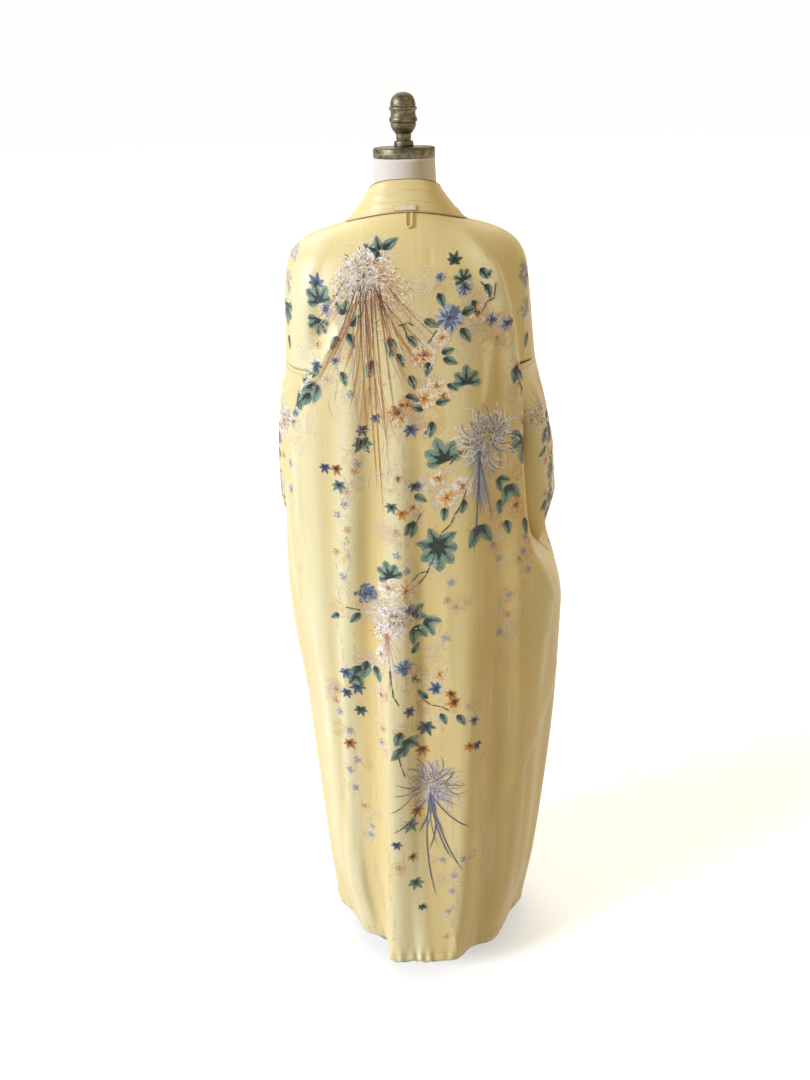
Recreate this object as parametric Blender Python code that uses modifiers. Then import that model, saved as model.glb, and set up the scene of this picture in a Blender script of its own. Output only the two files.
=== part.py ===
"""A silk kimono worn by a limbless dress form on a stand.

Metres, +Z up. The origin is the centre of the stand's underside, the garment's front
faces -Y and the wearer's left side is +X. A cloth piece is an open surface, a grid
across and down worked out from the sections below, given its thickness by Solidify.
"""

import math
from collections import namedtuple

import bmesh
import bpy
import numpy as np

# Driving sizes of the cloth.
CLOTH = 0.0018  # wall of one layer of cloth
BAND_WALL = 0.0026  # the collar band is folded double
SEAM_GAP = 0.0005  # from a sewn edge to the plane of its seam
BAND_GAP = 0.0008  # from the band's sewn edge to the front's
SLEEVE_GAP = 0.0013  # under the dropped shoulders, whose edges lean
ARMHOLE = 1.190  # height of the sleeve seams, at the foot of the dropped shoulders
HEM_BACK = 0.045
HEM_SIDE = 0.060
HEM_FRONT = 0.050
SEAM_SINK = 0.012  # how far the side panels' top edge lies under the sleeve seam
BAND_WIDTH = 0.055  # the band on the front edges
OPENING = 0.0035  # half the gap between the two front edges

# Driving sizes of the dress form and its stand.
NECK_RADIUS = 0.0478
NECK_TOP = 1.4975
CAP_RADIUS = 0.0482
CAP_TOP = 1.5125
POLE_RADIUS = 0.0125
BASE_RADIUS = 0.135
BASE_EDGE = 0.012
BODY_FOOT = 0.640
TOUCH = 0.0004  # gap between hard pieces that rest on each other
CAP_FOOT = NECK_TOP + TOUCH

LEFT, RIGHT = 1, -1
BACK, FRONT = 1, -1

# The trunk's sections, from the hem to the sleeve seams: half widths and depths from the
# form's axis, and how square the section is (2 is an ellipse).
Trunk = namedtuple("Trunk", "height half_left half_right back front square")
TRUNK = (
    Trunk(0.040, 0.173, 0.206, 0.213, 0.190, 1.85),
    Trunk(0.100, 0.180, 0.222, 0.211, 0.189, 1.90),
    Trunk(0.200, 0.190, 0.240, 0.207, 0.187, 2.05),
    Trunk(0.320, 0.196, 0.249, 0.202, 0.184, 2.15),
    Trunk(0.450, 0.202, 0.257, 0.195, 0.180, 2.20),
    Trunk(0.560, 0.206, 0.262, 0.188, 0.176, 2.25),
    Trunk(0.660, 0.214, 0.261, 0.181, 0.172, 2.30),
    Trunk(0.740, 0.224, 0.267, 0.175, 0.168, 2.30),
    Trunk(0.790, 0.2265, 0.270, 0.170, 0.166, 2.35),
    Trunk(0.870, 0.230, 0.258, 0.163, 0.162, 2.40),
    Trunk(0.950, 0.229, 0.236, 0.157, 0.158, 2.45),
    Trunk(1.070, 0.222, 0.218, 0.148, 0.154, 2.55),
    Trunk(1.190, 0.204, 0.2085, 0.138, 0.150, 2.60),
)

# Beside the sleeves each panel turns under at a hanging fold and runs back to the side
# seam, which lies in a groove there. Lower down the groove opens out into the side.
Groove = namedtuple("Groove", "height back_edge front_edge seam")
GROOVES = {
    LEFT: (
        Groove(0.040, 0.150, 0.150, 0.173),
        Groove(0.560, 0.178, 0.178, 0.206),
        Groove(0.740, 0.198, 0.196, 0.224),
        Groove(0.800, 0.206, 0.204, 0.2255),
        Groove(0.870, 0.214, 0.214, 0.214),
        Groove(0.930, 0.214, 0.216, 0.186),
        Groove(1.000, 0.210, 0.210, 0.164),
        Groove(1.070, 0.198, 0.200, 0.152),
        Groove(1.130, 0.172, 0.180, 0.150),
        Groove(1.190, 0.142, 0.150, 0.150),
    ),
    RIGHT: (
        Groove(0.040, 0.178, 0.178, 0.206),
        Groove(0.560, 0.226, 0.226, 0.262),
        Groove(0.740, 0.226, 0.236, 0.267),
        Groove(0.800, 0.208, 0.242, 0.258),
        Groove(0.870, 0.184, 0.242, 0.196),
        Groove(0.930, 0.179, 0.230, 0.168),
        Groove(1.000, 0.175, 0.214, 0.158),
        Groove(1.070, 0.170, 0.202, 0.154),
        Groove(1.130, 0.166, 0.186, 0.151),
        Groove(1.190, 0.162, 0.160, 0.150),
    ),
}

# Rows of cloth over the shoulders, from the neck seam to the sleeve seams. The ridge is
# where back meets front, the fold is the angle round the section where the hanging fold
# starts, and the sink is how far the cloth outside the fold lies in from it. The edge is
# the front's sewn edge.
Shoulder = namedtuple(
    "Shoulder",
    "row ridge_left ridge_right ridge_height back back_height front edge edge_height"
    " square fold_left fold_right sink_left sink_right",
)
SHOULDERS = (
    Shoulder(0, 0.0950, 0.0970, 1.405, 0.078, 1.424, 0.070, 0.093, 1.398, 2.00, 40, 44, 0.000, 0.000),
    Shoulder(1, 0.1270, 0.1280, 1.397, 0.096, 1.399, 0.071, 0.092, 1.372, 2.10, 32, 43, 0.000, 0.001),
    Shoulder(2, 0.1580, 0.1590, 1.384, 0.108, 1.374, 0.098, 0.086, 1.335, 2.20, 25, 42, 0.000, 0.003),
    Shoulder(3, 0.1805, 0.1805, 1.366, 0.118, 1.346, 0.118, 0.078, 1.298, 2.35, 21, 42, 0.000, 0.006),
    Shoulder(4, 0.1925, 0.1920, 1.340, 0.125, 1.316, 0.133, 0.071, 1.265, 2.45, 20, 43, 0.000, 0.008),
    Shoulder(5, 0.1990, 0.1980, 1.292, 0.130, 1.278, 0.143, 0.066, 1.238, 2.55, 22, 45, 0.002, 0.009),
    Shoulder(6, 0.2015, 0.2030, 1.240, 0.134, 1.235, 0.148, 0.063, 1.213, 2.60, 30, 48, 0.006, 0.010),
    Shoulder(7, 0.2040, 0.2085, 1.190, 0.138, 1.190, 0.150, 0.061, 1.190, 2.60, 39, 46, 0.008, 0.010),
)

# Where the band is sewn to the fronts, from the sleeve seams' height to the hem.
FrontEdge = namedtuple("FrontEdge", "height seam")
FRONT_EDGE = (
    FrontEdge(0.040, BAND_WIDTH + OPENING),
    FrontEdge(1.000, BAND_WIDTH + OPENING),
    FrontEdge(1.190, 0.061),
)

# Long soft folds: the angle round the section where each runs, at its top and foot
# (0 is the centre back, 90 the left side, -90 the right side), and its height off the cloth.
LongFold = namedtuple("LongFold", "top_angle foot_angle top foot width rise")
LONG_FOLDS = (
    LongFold(9, 19, 1.00, -0.10, 6.0, 0.0090),
    LongFold(-3, 6, 0.98, -0.10, 5.5, -0.0060),
    LongFold(-20, -17, 0.90, -0.10, 6.5, 0.0070),
    LongFold(-33, -28, 1.02, -0.10, 6.0, -0.0060),
    LongFold(-46, -41, 0.80, -0.10, 7.0, 0.0080),
    LongFold(30, 34, 1.05, -0.10, 6.0, -0.0050),
    LongFold(42, 48, 0.95, -0.10, 6.5, 0.0065),
    LongFold(68, 66, 0.78, -0.10, 7.0, -0.0060),
    LongFold(-66, -62, 0.72, -0.10, 7.0, -0.0070),
    LongFold(122, 126, 0.80, -0.10, 7.5, -0.0075),
    LongFold(143, 145, 1.00, -0.10, 7.5, 0.0080),
    LongFold(-120, -124, 0.80, -0.10, 7.5, -0.0075),
    LongFold(-142, -146, 1.00, -0.10, 7.5, 0.0080),
)
FOLD_START = 2.2  # how fast a long fold rises from its top
# At the foot of the back a deep layer tucks behind the centre.
TUCK_ANGLE = 21.5
TUCK_TURN = 3.0
TUCK_END = 95.0
TUCK_DEPTH = 0.030
TUCK_TOP = 0.30

# The turn from the hanging fold to the side seam, in shares of its depth.
TURN_REACH = 0.42  # how far it runs on along the section
TURN_RETURN = 0.55  # how far the seam's end of it runs straight
TURN_DEEPER = 0.25  # added to that where the groove is deep
GROOVE_DEEP = 0.04
FOLDS_FADE = 0.8  # the long folds are gone this far past the hanging fold
# Over the shoulder the cloth past the hanging fold lies in by the table's sink.
SINK_FULL = 0.16
SINK_KEPT = 0.20
FRONT_FOLD_LEAST = 0.35  # how far from the sewn edge to the ridge the front's fold lies
SEAM_BLEND_ROW = 5.5  # from here the folds run to their places at the sleeve seams
LAST_ROW = 7

# The sleeves' sections below the seam: how deep the inner layer reaches into the groove to
# the back and the front, a point on the outer layer, and the outer fold.
Sleeve = namedtuple("Sleeve", "part back_corner front_corner outer outer_deep ridge")
SLEEVES = {
    LEFT: (
        Sleeve(0.00, 0.082, 0.082, 0.1870, 0.074, 0.2040),
        Sleeve(0.30, 0.050, 0.048, 0.1980, 0.052, 0.2190),
        Sleeve(0.60, 0.036, 0.036, 0.2080, 0.040, 0.2280),
        Sleeve(0.85, 0.030, 0.030, 0.2170, 0.033, 0.2305),
        Sleeve(1.00, 0.027, 0.027, 0.2210, 0.028, 0.2300),
    ),
    RIGHT: (
        Sleeve(0.00, 0.080, 0.080, 0.1900, 0.072, 0.2085),
        Sleeve(0.30, 0.066, 0.050, 0.2060, 0.066, 0.2270),
        Sleeve(0.60, 0.064, 0.038, 0.2180, 0.062, 0.2420),
        Sleeve(0.85, 0.066, 0.032, 0.2260, 0.060, 0.2490),
        Sleeve(1.00, 0.068, 0.030, 0.2300, 0.058, 0.2520),
    ),
}
SLEEVE_CLEAR = 0.0055  # from the groove's face to the sleeve's inner layer
CUFF_RIDGE = 0.945  # the cuff's height at the outer fold, and at the inner layer
CUFF_INNER = {LEFT: 0.905, RIGHT: 0.872}

# The collar band's top edge round the back of the neck, by the angle round the neck seam.
Band = namedtuple("Band", "angle top_x top_y top_z")
NECK_BAND = (
    Band(0, 0.0000, 0.0570, 1.4710),
    Band(26, 0.0300, 0.0530, 1.4690),
    Band(51, 0.0490, 0.0370, 1.4620),
    Band(72, 0.0570, 0.0120, 1.4530),
    Band(88, 0.0585, -0.0140, 1.4400),
)
BAND_LIFT = 0.0008  # from the neck seam to the band's sewn edge
# From the shoulder down the front, the band's top edge runs in to the opening.
FrontBand = namedtuple("FrontBand", "row top_x top_deep top_z")
FRONT_BAND = (
    FrontBand(0, 0.0570, 0.034, 1.4220),
    FrontBand(1, 0.0510, 0.061, 1.3920),
    FrontBand(2, 0.0400, 0.100, 1.3400),
    FrontBand(3, 0.0290, 0.1215, 1.2980),
    FrontBand(4, 0.0200, 0.1345, 1.2640),
    FrontBand(5, 0.0130, 0.1435, 1.2370),
    FrontBand(6, 0.0080, 0.1482, 1.2125),
    FrontBand(7, 0.0045, 0.1502, 1.1900),
)
LABEL_WIDTH = 0.034
LABEL_FROM, LABEL_TO = 0.05, 0.22  # how far up the band the label reaches
LABEL_OFF = 0.0014  # from the band's face to the label's
LABEL_WALL = 0.0010
LOOP_MIDDLE = -0.005
LOOP_HALF = 0.0045
LOOP_RADIUS = 0.0014
LOOP_OFF = 0.0006  # from the cloth, whose facets are flat between its folds
LOOP_LENGTH = 0.80  # in rows of the shoulder table
LOOP_STRAIGHT = 0.80  # the share of it above the rounded end
LOOP_TOP = 0.032
LOOP_TURNS = 8

# The dress form's sections from its underside to the shoulders: half width and depths.
Figure = namedtuple("Figure", "height half back front")
FIGURE = (
    Figure(BODY_FOOT, 0.150, 0.112, 0.100),
    Figure(0.700, 0.160, 0.120, 0.108),
    Figure(0.800, 0.163, 0.124, 0.112),
    Figure(0.900, 0.142, 0.105, 0.104),
    Figure(1.000, 0.118, 0.088, 0.098),
    Figure(1.100, 0.128, 0.098, 0.124),
    Figure(1.180, 0.137, 0.110, 0.135),
    Figure(1.235, 0.146, 0.114, 0.126),
    Figure(1.280, 0.158, 0.114, 0.112),
)
# Its shoulders lie just inside the rows of cloth that they carry, and its chest is free.
Chest = namedtuple("Chest", "row deep height")
CHEST = (
    Chest(1.0, 0.060, 1.366),
    Chest(1.6, 0.071, 1.348),
    Chest(2.2, 0.082, 1.330),
    Chest(2.6, 0.090, 1.318),
    Chest(3.0, 0.097, 1.306),
)
# How far the form's shoulders lie inside the cloth's outer face: sideways, down and back.
YOKE_INSET = 0.0025
YOKE_DROP = 0.0014
BLADE_INSET = 0.0110
YOKE_START = 0.35  # on the front the rise to the shoulder starts this far round
NECK_PROFILE = (
    (NECK_RADIUS, NECK_TOP),
    (0.0492, 1.4650),
    (0.0510, 1.4350),
    (0.0560, 1.4080),
    (0.0640, 1.3930),
)

# Turned profiles, as radius and height.
FINIAL_PROFILE = (
    (0.0045, 1.5902),
    (0.0105, 1.5880),
    (0.0155, 1.5835),
    (0.0186, 1.5775),
    (0.0202, 1.5725),
    (0.0214, 1.5695),
    (0.0210, 1.5665),
    (0.0190, 1.5635),
    (0.0188, 1.5590),
    (0.0206, 1.5560),
    (0.0216, 1.5535),
    (0.0212, 1.5505),
    (0.0194, 1.5480),
    (0.0193, 1.5430),
    (0.0176, 1.5375),
    (0.0132, 1.5320),
    (0.0112, 1.5275),
    (0.0118, 1.5220),
    (0.0140, 1.5195),
    (0.0158, 1.5165),
    (0.0150, CAP_TOP + TOUCH),
)
CAP_ROUND = 0.0020
CAP_PROFILE = (
    (CAP_RADIUS - CAP_ROUND, CAP_TOP),
    (CAP_RADIUS, CAP_TOP - CAP_ROUND),
    (CAP_RADIUS, CAP_FOOT + CAP_ROUND / 2),
    (CAP_RADIUS - CAP_ROUND / 2, CAP_FOOT),
)
HUB_TOP = 0.052
BASE_ROUND = 0.003
BASE_PROFILE = (
    (0.0205, HUB_TOP),
    (0.0220, 0.036),
    (0.0300, 0.026),
    (0.0600, 0.019),
    (BASE_RADIUS - BASE_ROUND, BASE_EDGE),
    (BASE_RADIUS, BASE_EDGE - BASE_ROUND),
    (BASE_RADIUS, BASE_ROUND),
    (BASE_RADIUS - BASE_ROUND, 0.0),
)

# Finish of each material: colour, roughness, metallic.
FINISHES = {
    "silk": ((0.86, 0.72, 0.38, 1.0), 0.42, 0.0),
    "label_tape": ((0.83, 0.76, 0.58, 1.0), 0.7, 0.0),
    "linen": ((0.86, 0.83, 0.76, 1.0), 0.85, 0.0),
    "antique_brass": ((0.24, 0.19, 0.10, 1.0), 0.38, 0.9),
    "dark_steel": ((0.07, 0.07, 0.07, 1.0), 0.45, 0.8),
    "cast_iron": ((0.05, 0.05, 0.05, 1.0), 0.6, 0.6),
}

# How finely each surface is divided.
CENTRE_COLUMNS = {BACK: 12, FRONT: 9}
SIDE_COLUMNS = 7
# Rows of cloth over the shoulder, closest where it turns down.
SHOULDER_PLACES = (0, 0.5, 1.0, 1.6, 2.2, 2.6, 3.0, 3.4, 3.9, 4.5, 5.2, 6.1, 7.0)
TRUNK_ROWS = 20
SLEEVE_ROWS = 8
SLEEVE_COLUMNS = 22
TURNS = 32
FINIAL_TURNS = 20
BODY_TURNS = 32
BAND_COLUMNS = 3
BAND_NECK_ANGLES = np.linspace(0, 88, 9)
BAND_SHOULDER_ROWS = np.linspace(0, LAST_ROW, 13)
BAND_TRUNK_ROWS = 11
GROOVE_STEPS = 40
ROW_CROWDING = 1.25  # rows lie closer together beside the sleeves


def clear_scene():
    for thing in list(bpy.data.objects):
        bpy.data.objects.remove(thing, do_unlink=True)


def new_collection(name):
    found = bpy.data.collections.get(name) or bpy.data.collections.new(name)
    if name not in bpy.context.scene.collection.children:
        bpy.context.scene.collection.children.link(found)
    return found


def material(name):
    made = bpy.data.materials.get(name)
    if made is None:
        made = bpy.data.materials.new(name)
        made.use_nodes = True
        shader = made.node_tree.nodes["Principled BSDF"]
        colour, rough, metal = FINISHES[name]
        shader.inputs["Base Color"].default_value = colour
        shader.inputs["Roughness"].default_value = rough
        shader.inputs["Metallic"].default_value = metal
        made.diffuse_color = colour
    return made


def column(rows, name, at):
    """One column of a table at the places `at` of its first column, on a smooth curve
    that never goes past the table's own values."""
    place = np.array([row[0] for row in rows], float)
    value = np.array([getattr(row, name) for row in rows], float)
    step = np.diff(place)
    slope = np.diff(value) / step
    lean = np.zeros(len(value))
    product = slope[1:] * slope[:-1]
    lean[1:-1] = np.where(product > 0, 2 * product / (slope[1:] + slope[:-1] + 1e-12), 0)
    lean[0], lean[-1] = slope[0], slope[-1]
    at = np.clip(at, place[0], place[-1])
    low = np.clip(np.searchsorted(place, at) - 1, 0, len(step) - 1)
    part = (at - place[low]) / step[low]
    rise = value[low + 1] - value[low]
    bend = step[low] * (lean[low] * (1 - part) - lean[low + 1] * part)
    return value[low] + rise * part * part * (3 - 2 * part) + part * (1 - part) * bend


def on_side(name, side):
    """The name of a table's column for one side of the garment."""
    return name + ("_left" if side == LEFT else "_right")


def on_face(face, back, front):
    return back if face == BACK else front


def ease(part):
    """0 to 1 with level ends."""
    part = np.clip(part, 0, 1)
    return part * part * (3 - 2 * part)


def arc_point(angle, half, deep, square):
    """A point of a squared ellipse, from the centre (angle 0) to the side (a right angle)."""
    return (
        half * np.sin(angle) ** (2 / square),
        deep * np.cos(angle) ** (2 / square),
    )


def arc_angle(across, half, square):
    """The angle of arc_point at which it is `across` from the centre plane."""
    return np.arcsin(np.clip((across / half) ** (square / 2), 0, 1))


def long_folds(angle, height):
    """How far the long folds lift the cloth, from the signed angle in degrees."""
    lift = np.zeros_like(angle)
    for fold in LONG_FOLDS:
        down = np.clip((fold.top - height) / (fold.top - fold.foot), 0, 1)
        middle = fold.top_angle + (fold.foot_angle - fold.top_angle) * down
        off = (angle - middle + 180) % 360 - 180
        lift = lift + fold.rise * ease(down * FOLD_START) * np.exp(-((off / fold.width) ** 2))
    return lift


def hem_tuck(angle, height):
    """How far the deep layer beside the centre lies in, at the foot of the back."""
    past = ease((angle - TUCK_ANGLE) / TUCK_TURN)
    fade = 1 - ease((angle - TUCK_ANGLE) / (TUCK_END - TUCK_ANGLE))
    return TUCK_DEPTH * past * fade * ease((TUCK_TOP - height) / TUCK_TOP)


def relief(x, y, half, deep, height, side):
    """Moves points of a section off it by the folds, along the section's outward way."""
    angle = np.degrees(np.arctan2(side * x / half, y / deep))
    lift = long_folds(angle, height) - hem_tuck(angle, height)
    out_x, out_y = x / half**2, y / deep**2
    size = np.hypot(out_x, out_y)
    return x + lift * out_x / size, y + lift * out_y / size


def trunk_section(side, face, height):
    """Half width, depth and squareness of the trunk's section at a height."""
    return (
        column(TRUNK, on_side("half", side), height),
        column(TRUNK, on_face(face, "back", "front"), height),
        column(TRUNK, "square", height),
    )


def trunk_point(side, face, across, height):
    """A point of the trunk below the sleeve seams. Across runs from 0 at the centre or at
    the front edge, by 1 at the hanging fold, to 2 at the side seam."""
    half, deep, square = trunk_section(side, face, height)
    edge = column(GROOVES[side], on_face(face, "back_edge", "front_edge"), height)
    seam = column(GROOVES[side], "seam", height)
    start = 0 * height
    if face == FRONT:
        start = arc_angle(column(FRONT_EDGE, "seam", height) + BAND_GAP, half, square)
    fold = arc_angle(edge, half, square)
    x, y = arc_point(start + (fold - start) * np.clip(across, 0, 1), half, deep, square)
    edge_x, edge_y = arc_point(fold, half, deep, square)
    near_x, near_y = arc_point(fold - 0.02, half, deep, square)
    way_x, way_y = edge_x - near_x, edge_y - near_y
    size = np.hypot(way_x, way_y)
    # Past the fold, a Bezier curve leaves along the section and ends along the side seam.
    reach = TURN_REACH * edge_y
    first_x, first_y = edge_x + reach * way_x / size, edge_y + reach * way_y / size
    second_y = edge_y * (TURN_RETURN + TURN_DEEPER * ease((half - seam) / GROOVE_DEEP))
    t = np.clip(across - 1, 0, 1)
    weights = ((1 - t) ** 3, 3 * t * (1 - t) ** 2, 3 * t * t * (1 - t), t**3)
    side_x = sum(w * k for w, k in zip(weights, (edge_x, first_x, seam, seam)))
    side_y = sum(w * k for w, k in zip(weights, (edge_y, first_y, second_y, SEAM_GAP)))
    past = across > 1
    x, y = np.where(past, side_x, x), np.where(past, side_y, y)
    lifted_x, lifted_y = relief(x, face * y, half, deep, height, side)
    # The folds fade out towards the side seam, so that both panels still meet there.
    keep = 1 - ease((across - 1) / FOLDS_FADE)
    x = x + (lifted_x - x) * keep
    y = y + (face * lifted_y - y) * keep
    return side * x, face * y, height


def seam_fold(side, face):
    """The hanging fold's angle where the shoulder's rows meet the trunk."""
    half, _, square = trunk_section(side, face, ARMHOLE)
    edge = column(GROOVES[side], on_face(face, "back_edge", "front_edge"), ARMHOLE)
    return arc_angle(edge, half, square)


def shoulder_point(side, face, across, row):
    """A point of the cloth over the shoulder, with rows and across as in the tables."""
    half = column(SHOULDERS, on_side("ridge", side), row)
    deep = column(SHOULDERS, on_face(face, "back", "front"), row)
    square = column(SHOULDERS, "square", row)
    ridge_height = column(SHOULDERS, "ridge_height", row)
    fold = np.radians(column(SHOULDERS, on_side("fold", side), row))
    start = 0 * row
    first_height = column(SHOULDERS, on_face(face, "back_height", "edge_height"), row)
    if face == FRONT:
        start = arc_angle(column(SHOULDERS, "edge", row) + BAND_GAP, half, square)
        fold = np.maximum(fold, start + (math.pi / 2 - start) * FRONT_FOLD_LEAST)
    blend = ease((row - SEAM_BLEND_ROW) / (LAST_ROW - SEAM_BLEND_ROW))
    fold = fold + (seam_fold(side, face) - fold) * blend
    end = math.pi / 2 - SEAM_GAP / deep
    near = start + (fold - start) * np.clip(across, 0, 1)
    past = np.clip(across - 1, 0, 1)
    angle = np.where(across > 1, fold + (end - fold) * past, near)
    x, y = arc_point(angle, half, deep, square)
    part = (angle - start) / (math.pi / 2 - start)
    rise = ease(part) if face == BACK else np.sin(part * math.pi / 2)
    height = first_height + (ridge_height - first_height) * rise
    sink = column(SHOULDERS, on_side("sink", side), row)
    y = y - sink * ease(past / SINK_FULL) * (1 - ease((past - SINK_KEPT) / (1 - SINK_KEPT)))
    return side * x, face * y, height


def hem_height(face, across):
    low = on_face(face, HEM_BACK, HEM_FRONT)
    return low + (HEM_SIDE - low) * ease(across / 2)


def spaced(count):
    return np.linspace(0, 1, count + 1)


def panel_grids(side, face):
    """The two grids of half a panel: over the shoulder, and from the sleeve seam down."""
    across = np.concatenate([spaced(CENTRE_COLUMNS[face]), 1 + spaced(SIDE_COLUMNS)[1:]])
    a, r = np.meshgrid(across, SHOULDER_PLACES)
    upper = np.stack(shoulder_point(side, face, a, r), axis=-1)
    share = spaced(TRUNK_ROWS) ** ROW_CROWDING
    a, s = np.meshgrid(across, share)
    top = ARMHOLE - SEAM_SINK * ease((a - 1) / 0.25)
    height = top + (hem_height(face, a) - top) * s
    lower = np.stack(trunk_point(side, face, a, height), axis=-1)
    return upper, lower


def join_grids(grids):
    """Vertices and quads of several grids, each wound so that its faces point outward."""
    points, faces = [], []
    for grid, turned in grids:
        rows, columns = grid.shape[:2]
        index = np.arange(rows * columns).reshape(rows, columns) + len(points)
        points.extend(grid.reshape(-1, 3).tolist())
        corners = (index[:-1, :-1], index[:-1, 1:], index[1:, 1:], index[1:, :-1])
        if turned:
            corners = corners[::-1]
        faces.extend(np.stack(corners, axis=-1).reshape(-1, 4).tolist())
    return points, faces


def sheet(name, grids, wall, finish):
    """A cloth piece: its grids welded into one open surface, with its wall inside."""
    points, faces = join_grids(grids)
    mesh = bpy.data.meshes.new(name)
    mesh.from_pydata(points, [], faces)
    mesh.materials.append(material(finish))
    mesh.shade_smooth()
    piece = bpy.data.objects.new(name, mesh)
    COLLECTION.objects.link(piece)
    weld = piece.modifiers.new("Weld", "WELD")
    weld.merge_threshold = 0.00005
    solid = piece.modifiers.new("Wall", "SOLIDIFY")
    solid.thickness = wall
    solid.offset = -1
    return piece


def body_back():
    """The one-piece back, from the neck seam over both shoulders down to the hem."""
    grids = []
    for side in (LEFT, RIGHT):
        upper, lower = panel_grids(side, BACK)
        grids += [(upper, side == RIGHT), (lower, side == RIGHT)]
    return sheet("back", grids, CLOTH, "silk")


def body_front(side):
    upper, lower = panel_grids(side, FRONT)
    turned = side == LEFT
    return sheet(on_side("front", side), [(upper, turned), (lower, turned)], CLOTH, "silk")


def closed_spline(corners, count):
    """Points spread along a smooth closed curve through the corners. The corners are an
    array of rows, corners and coordinates."""
    number = corners.shape[1]
    place = np.arange(count) * number / count
    low = np.floor(place).astype(int)
    part = (place - low)[None, :, None]
    a, b, c, d = (corners[:, (low + k) % number] for k in (-1, 0, 1, 2))
    return 0.5 * (
        2 * b
        + (c - a) * part
        + (2 * a - 5 * b + 4 * c - d) * part**2
        + (3 * b - a - 3 * c + d) * part**3
    )


def groove_across(side, face, deep, height):
    """How far from the centre plane the trunk's side lies, at given depths and heights."""
    across = 1 + spaced(GROOVE_STEPS)
    found = []
    for one_deep, one_height in zip(deep, height):
        x, y, _ = trunk_point(side, face, across, one_height + 0 * across)
        found.append(np.interp(one_deep, np.abs(y[::-1]), np.abs(x[::-1])))
    return np.array(found)


def sleeve_section(side, part):
    """The corners round the sleeve's sections, as across, deep, lower edge and sink."""
    table = SLEEVES[side]
    back, front, outer, deep, ridge = (column(table, key, part) for key in Sleeve._fields[1:])
    cuff = CUFF_INNER[side]
    middle = (CUFF_RIDGE + cuff) / 2
    height = ARMHOLE - SEAM_SINK + (cuff - ARMHOLE) * part
    held = 1 - ease(part / 0.35)
    flat = 0 * part

    def inner(face, reach, clear):
        return groove_across(side, face, reach, height) + clear

    def on_seam(face, across, own_x, own_y):
        """A point of the outer layer, on the dropped shoulder's edge at the seam."""
        x, y, _ = shoulder_point(side, face, across + flat, LAST_ROW + flat)
        return own_x + (np.abs(x) - own_x) * held, own_y + (np.abs(y) - own_y) * held

    rows = [(inner(BACK, flat, SLEEVE_CLEAR), flat, cuff, SEAM_SINK)]
    for face, corner in ((BACK, back), (FRONT, front)):
        half_deep = (inner(face, corner * 0.55, SLEEVE_CLEAR), face * corner * 0.55, cuff, SEAM_SINK)
        tip_x = inner(face, corner, SLEEVE_CLEAR + 0.003)
        tip = (tip_x, face * corner, cuff, 0.7 * SEAM_SINK)
        across, reach = on_seam(face, 1.5, outer, deep * (1 if face == BACK else front / back))
        side_points = [half_deep, tip, (across, face * reach, middle, 0)]
        if face == BACK:
            rows += side_points + [(ridge, flat, CUFF_RIDGE, 0)]
        else:
            rows += side_points[::-1]
    return rows


def sleeve(side):
    """A sleeve hanging from its seam: a flattened tube, open at the armhole and the cuff."""
    part = spaced(SLEEVE_ROWS)
    top = ARMHOLE - SLEEVE_GAP
    corners = np.stack(
        [
            np.stack([side * x, y, (top - down) + (low - top + down) * part], axis=-1)
            for x, y, low, down in sleeve_section(side, part)
        ],
        axis=1,
    )
    grid = closed_spline(corners, SLEEVE_COLUMNS)
    grid = np.concatenate([grid, grid[:, :1]], axis=1)
    return sheet(on_side("sleeve", side), [(grid, side == RIGHT)], CLOTH, "silk")


def band_strip(seam, top):
    """Points across the band from its sewn edge to its top edge."""
    return [seam + (top - seam) * part for part in spaced(BAND_COLUMNS)]


def band_rows(side):
    """The sewn edge and the top edge of half the collar band, from the centre back round
    the neck and down the front to the hem, and points between them that follow the cloth."""
    strips = []
    first = SHOULDERS[0]
    for angle in BAND_NECK_ANGLES:
        turn = math.radians(angle)
        seam_x = getattr(first, on_side("ridge", side)) * math.sin(turn)
        drop = ease(angle / 90) * (first.ridge_height - first.back_height)
        height = first.back_height + drop + BAND_LIFT
        seam = np.array([side * seam_x, first.back * math.cos(turn), height])
        top = np.array([column(NECK_BAND, key, angle) for key in Band._fields[1:]])
        strips.append(band_strip(seam, top * [side, 1, 1]))
    for row in BAND_SHOULDER_ROWS:
        edge = shoulder_point(side, FRONT, np.array(0.0), np.array(row))
        seam = np.array(edge, float) - [side * BAND_GAP, 0, 0]
        top_x, deep, height = (column(FRONT_BAND, key, row) for key in FrontBand._fields[1:])
        strips.append(band_strip(seam, np.array([side * top_x, -deep, height])))
    for share in spaced(BAND_TRUNK_ROWS)[1:]:
        height = ARMHOLE + (HEM_FRONT - ARMHOLE) * share
        half, deep, square = trunk_section(side, FRONT, height)
        seam_x = column(FRONT_EDGE, "seam", height)
        x = seam_x + (OPENING - seam_x) * spaced(BAND_COLUMNS)
        x, y = arc_point(arc_angle(x, half, square), half, deep, square)
        x, y = relief(x, -y, half, deep, height, side)
        strips.append(np.stack([side * x, y, height + 0 * x], axis=-1))
    return np.array(strips, float)


def collar():
    """The band round the neck and down both front edges, in one length."""
    left, right = band_rows(LEFT), band_rows(RIGHT)
    grid = np.concatenate([right[::-1], left[1:]])
    return sheet("collar", [(grid, False)], BAND_WALL, "silk")


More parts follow.
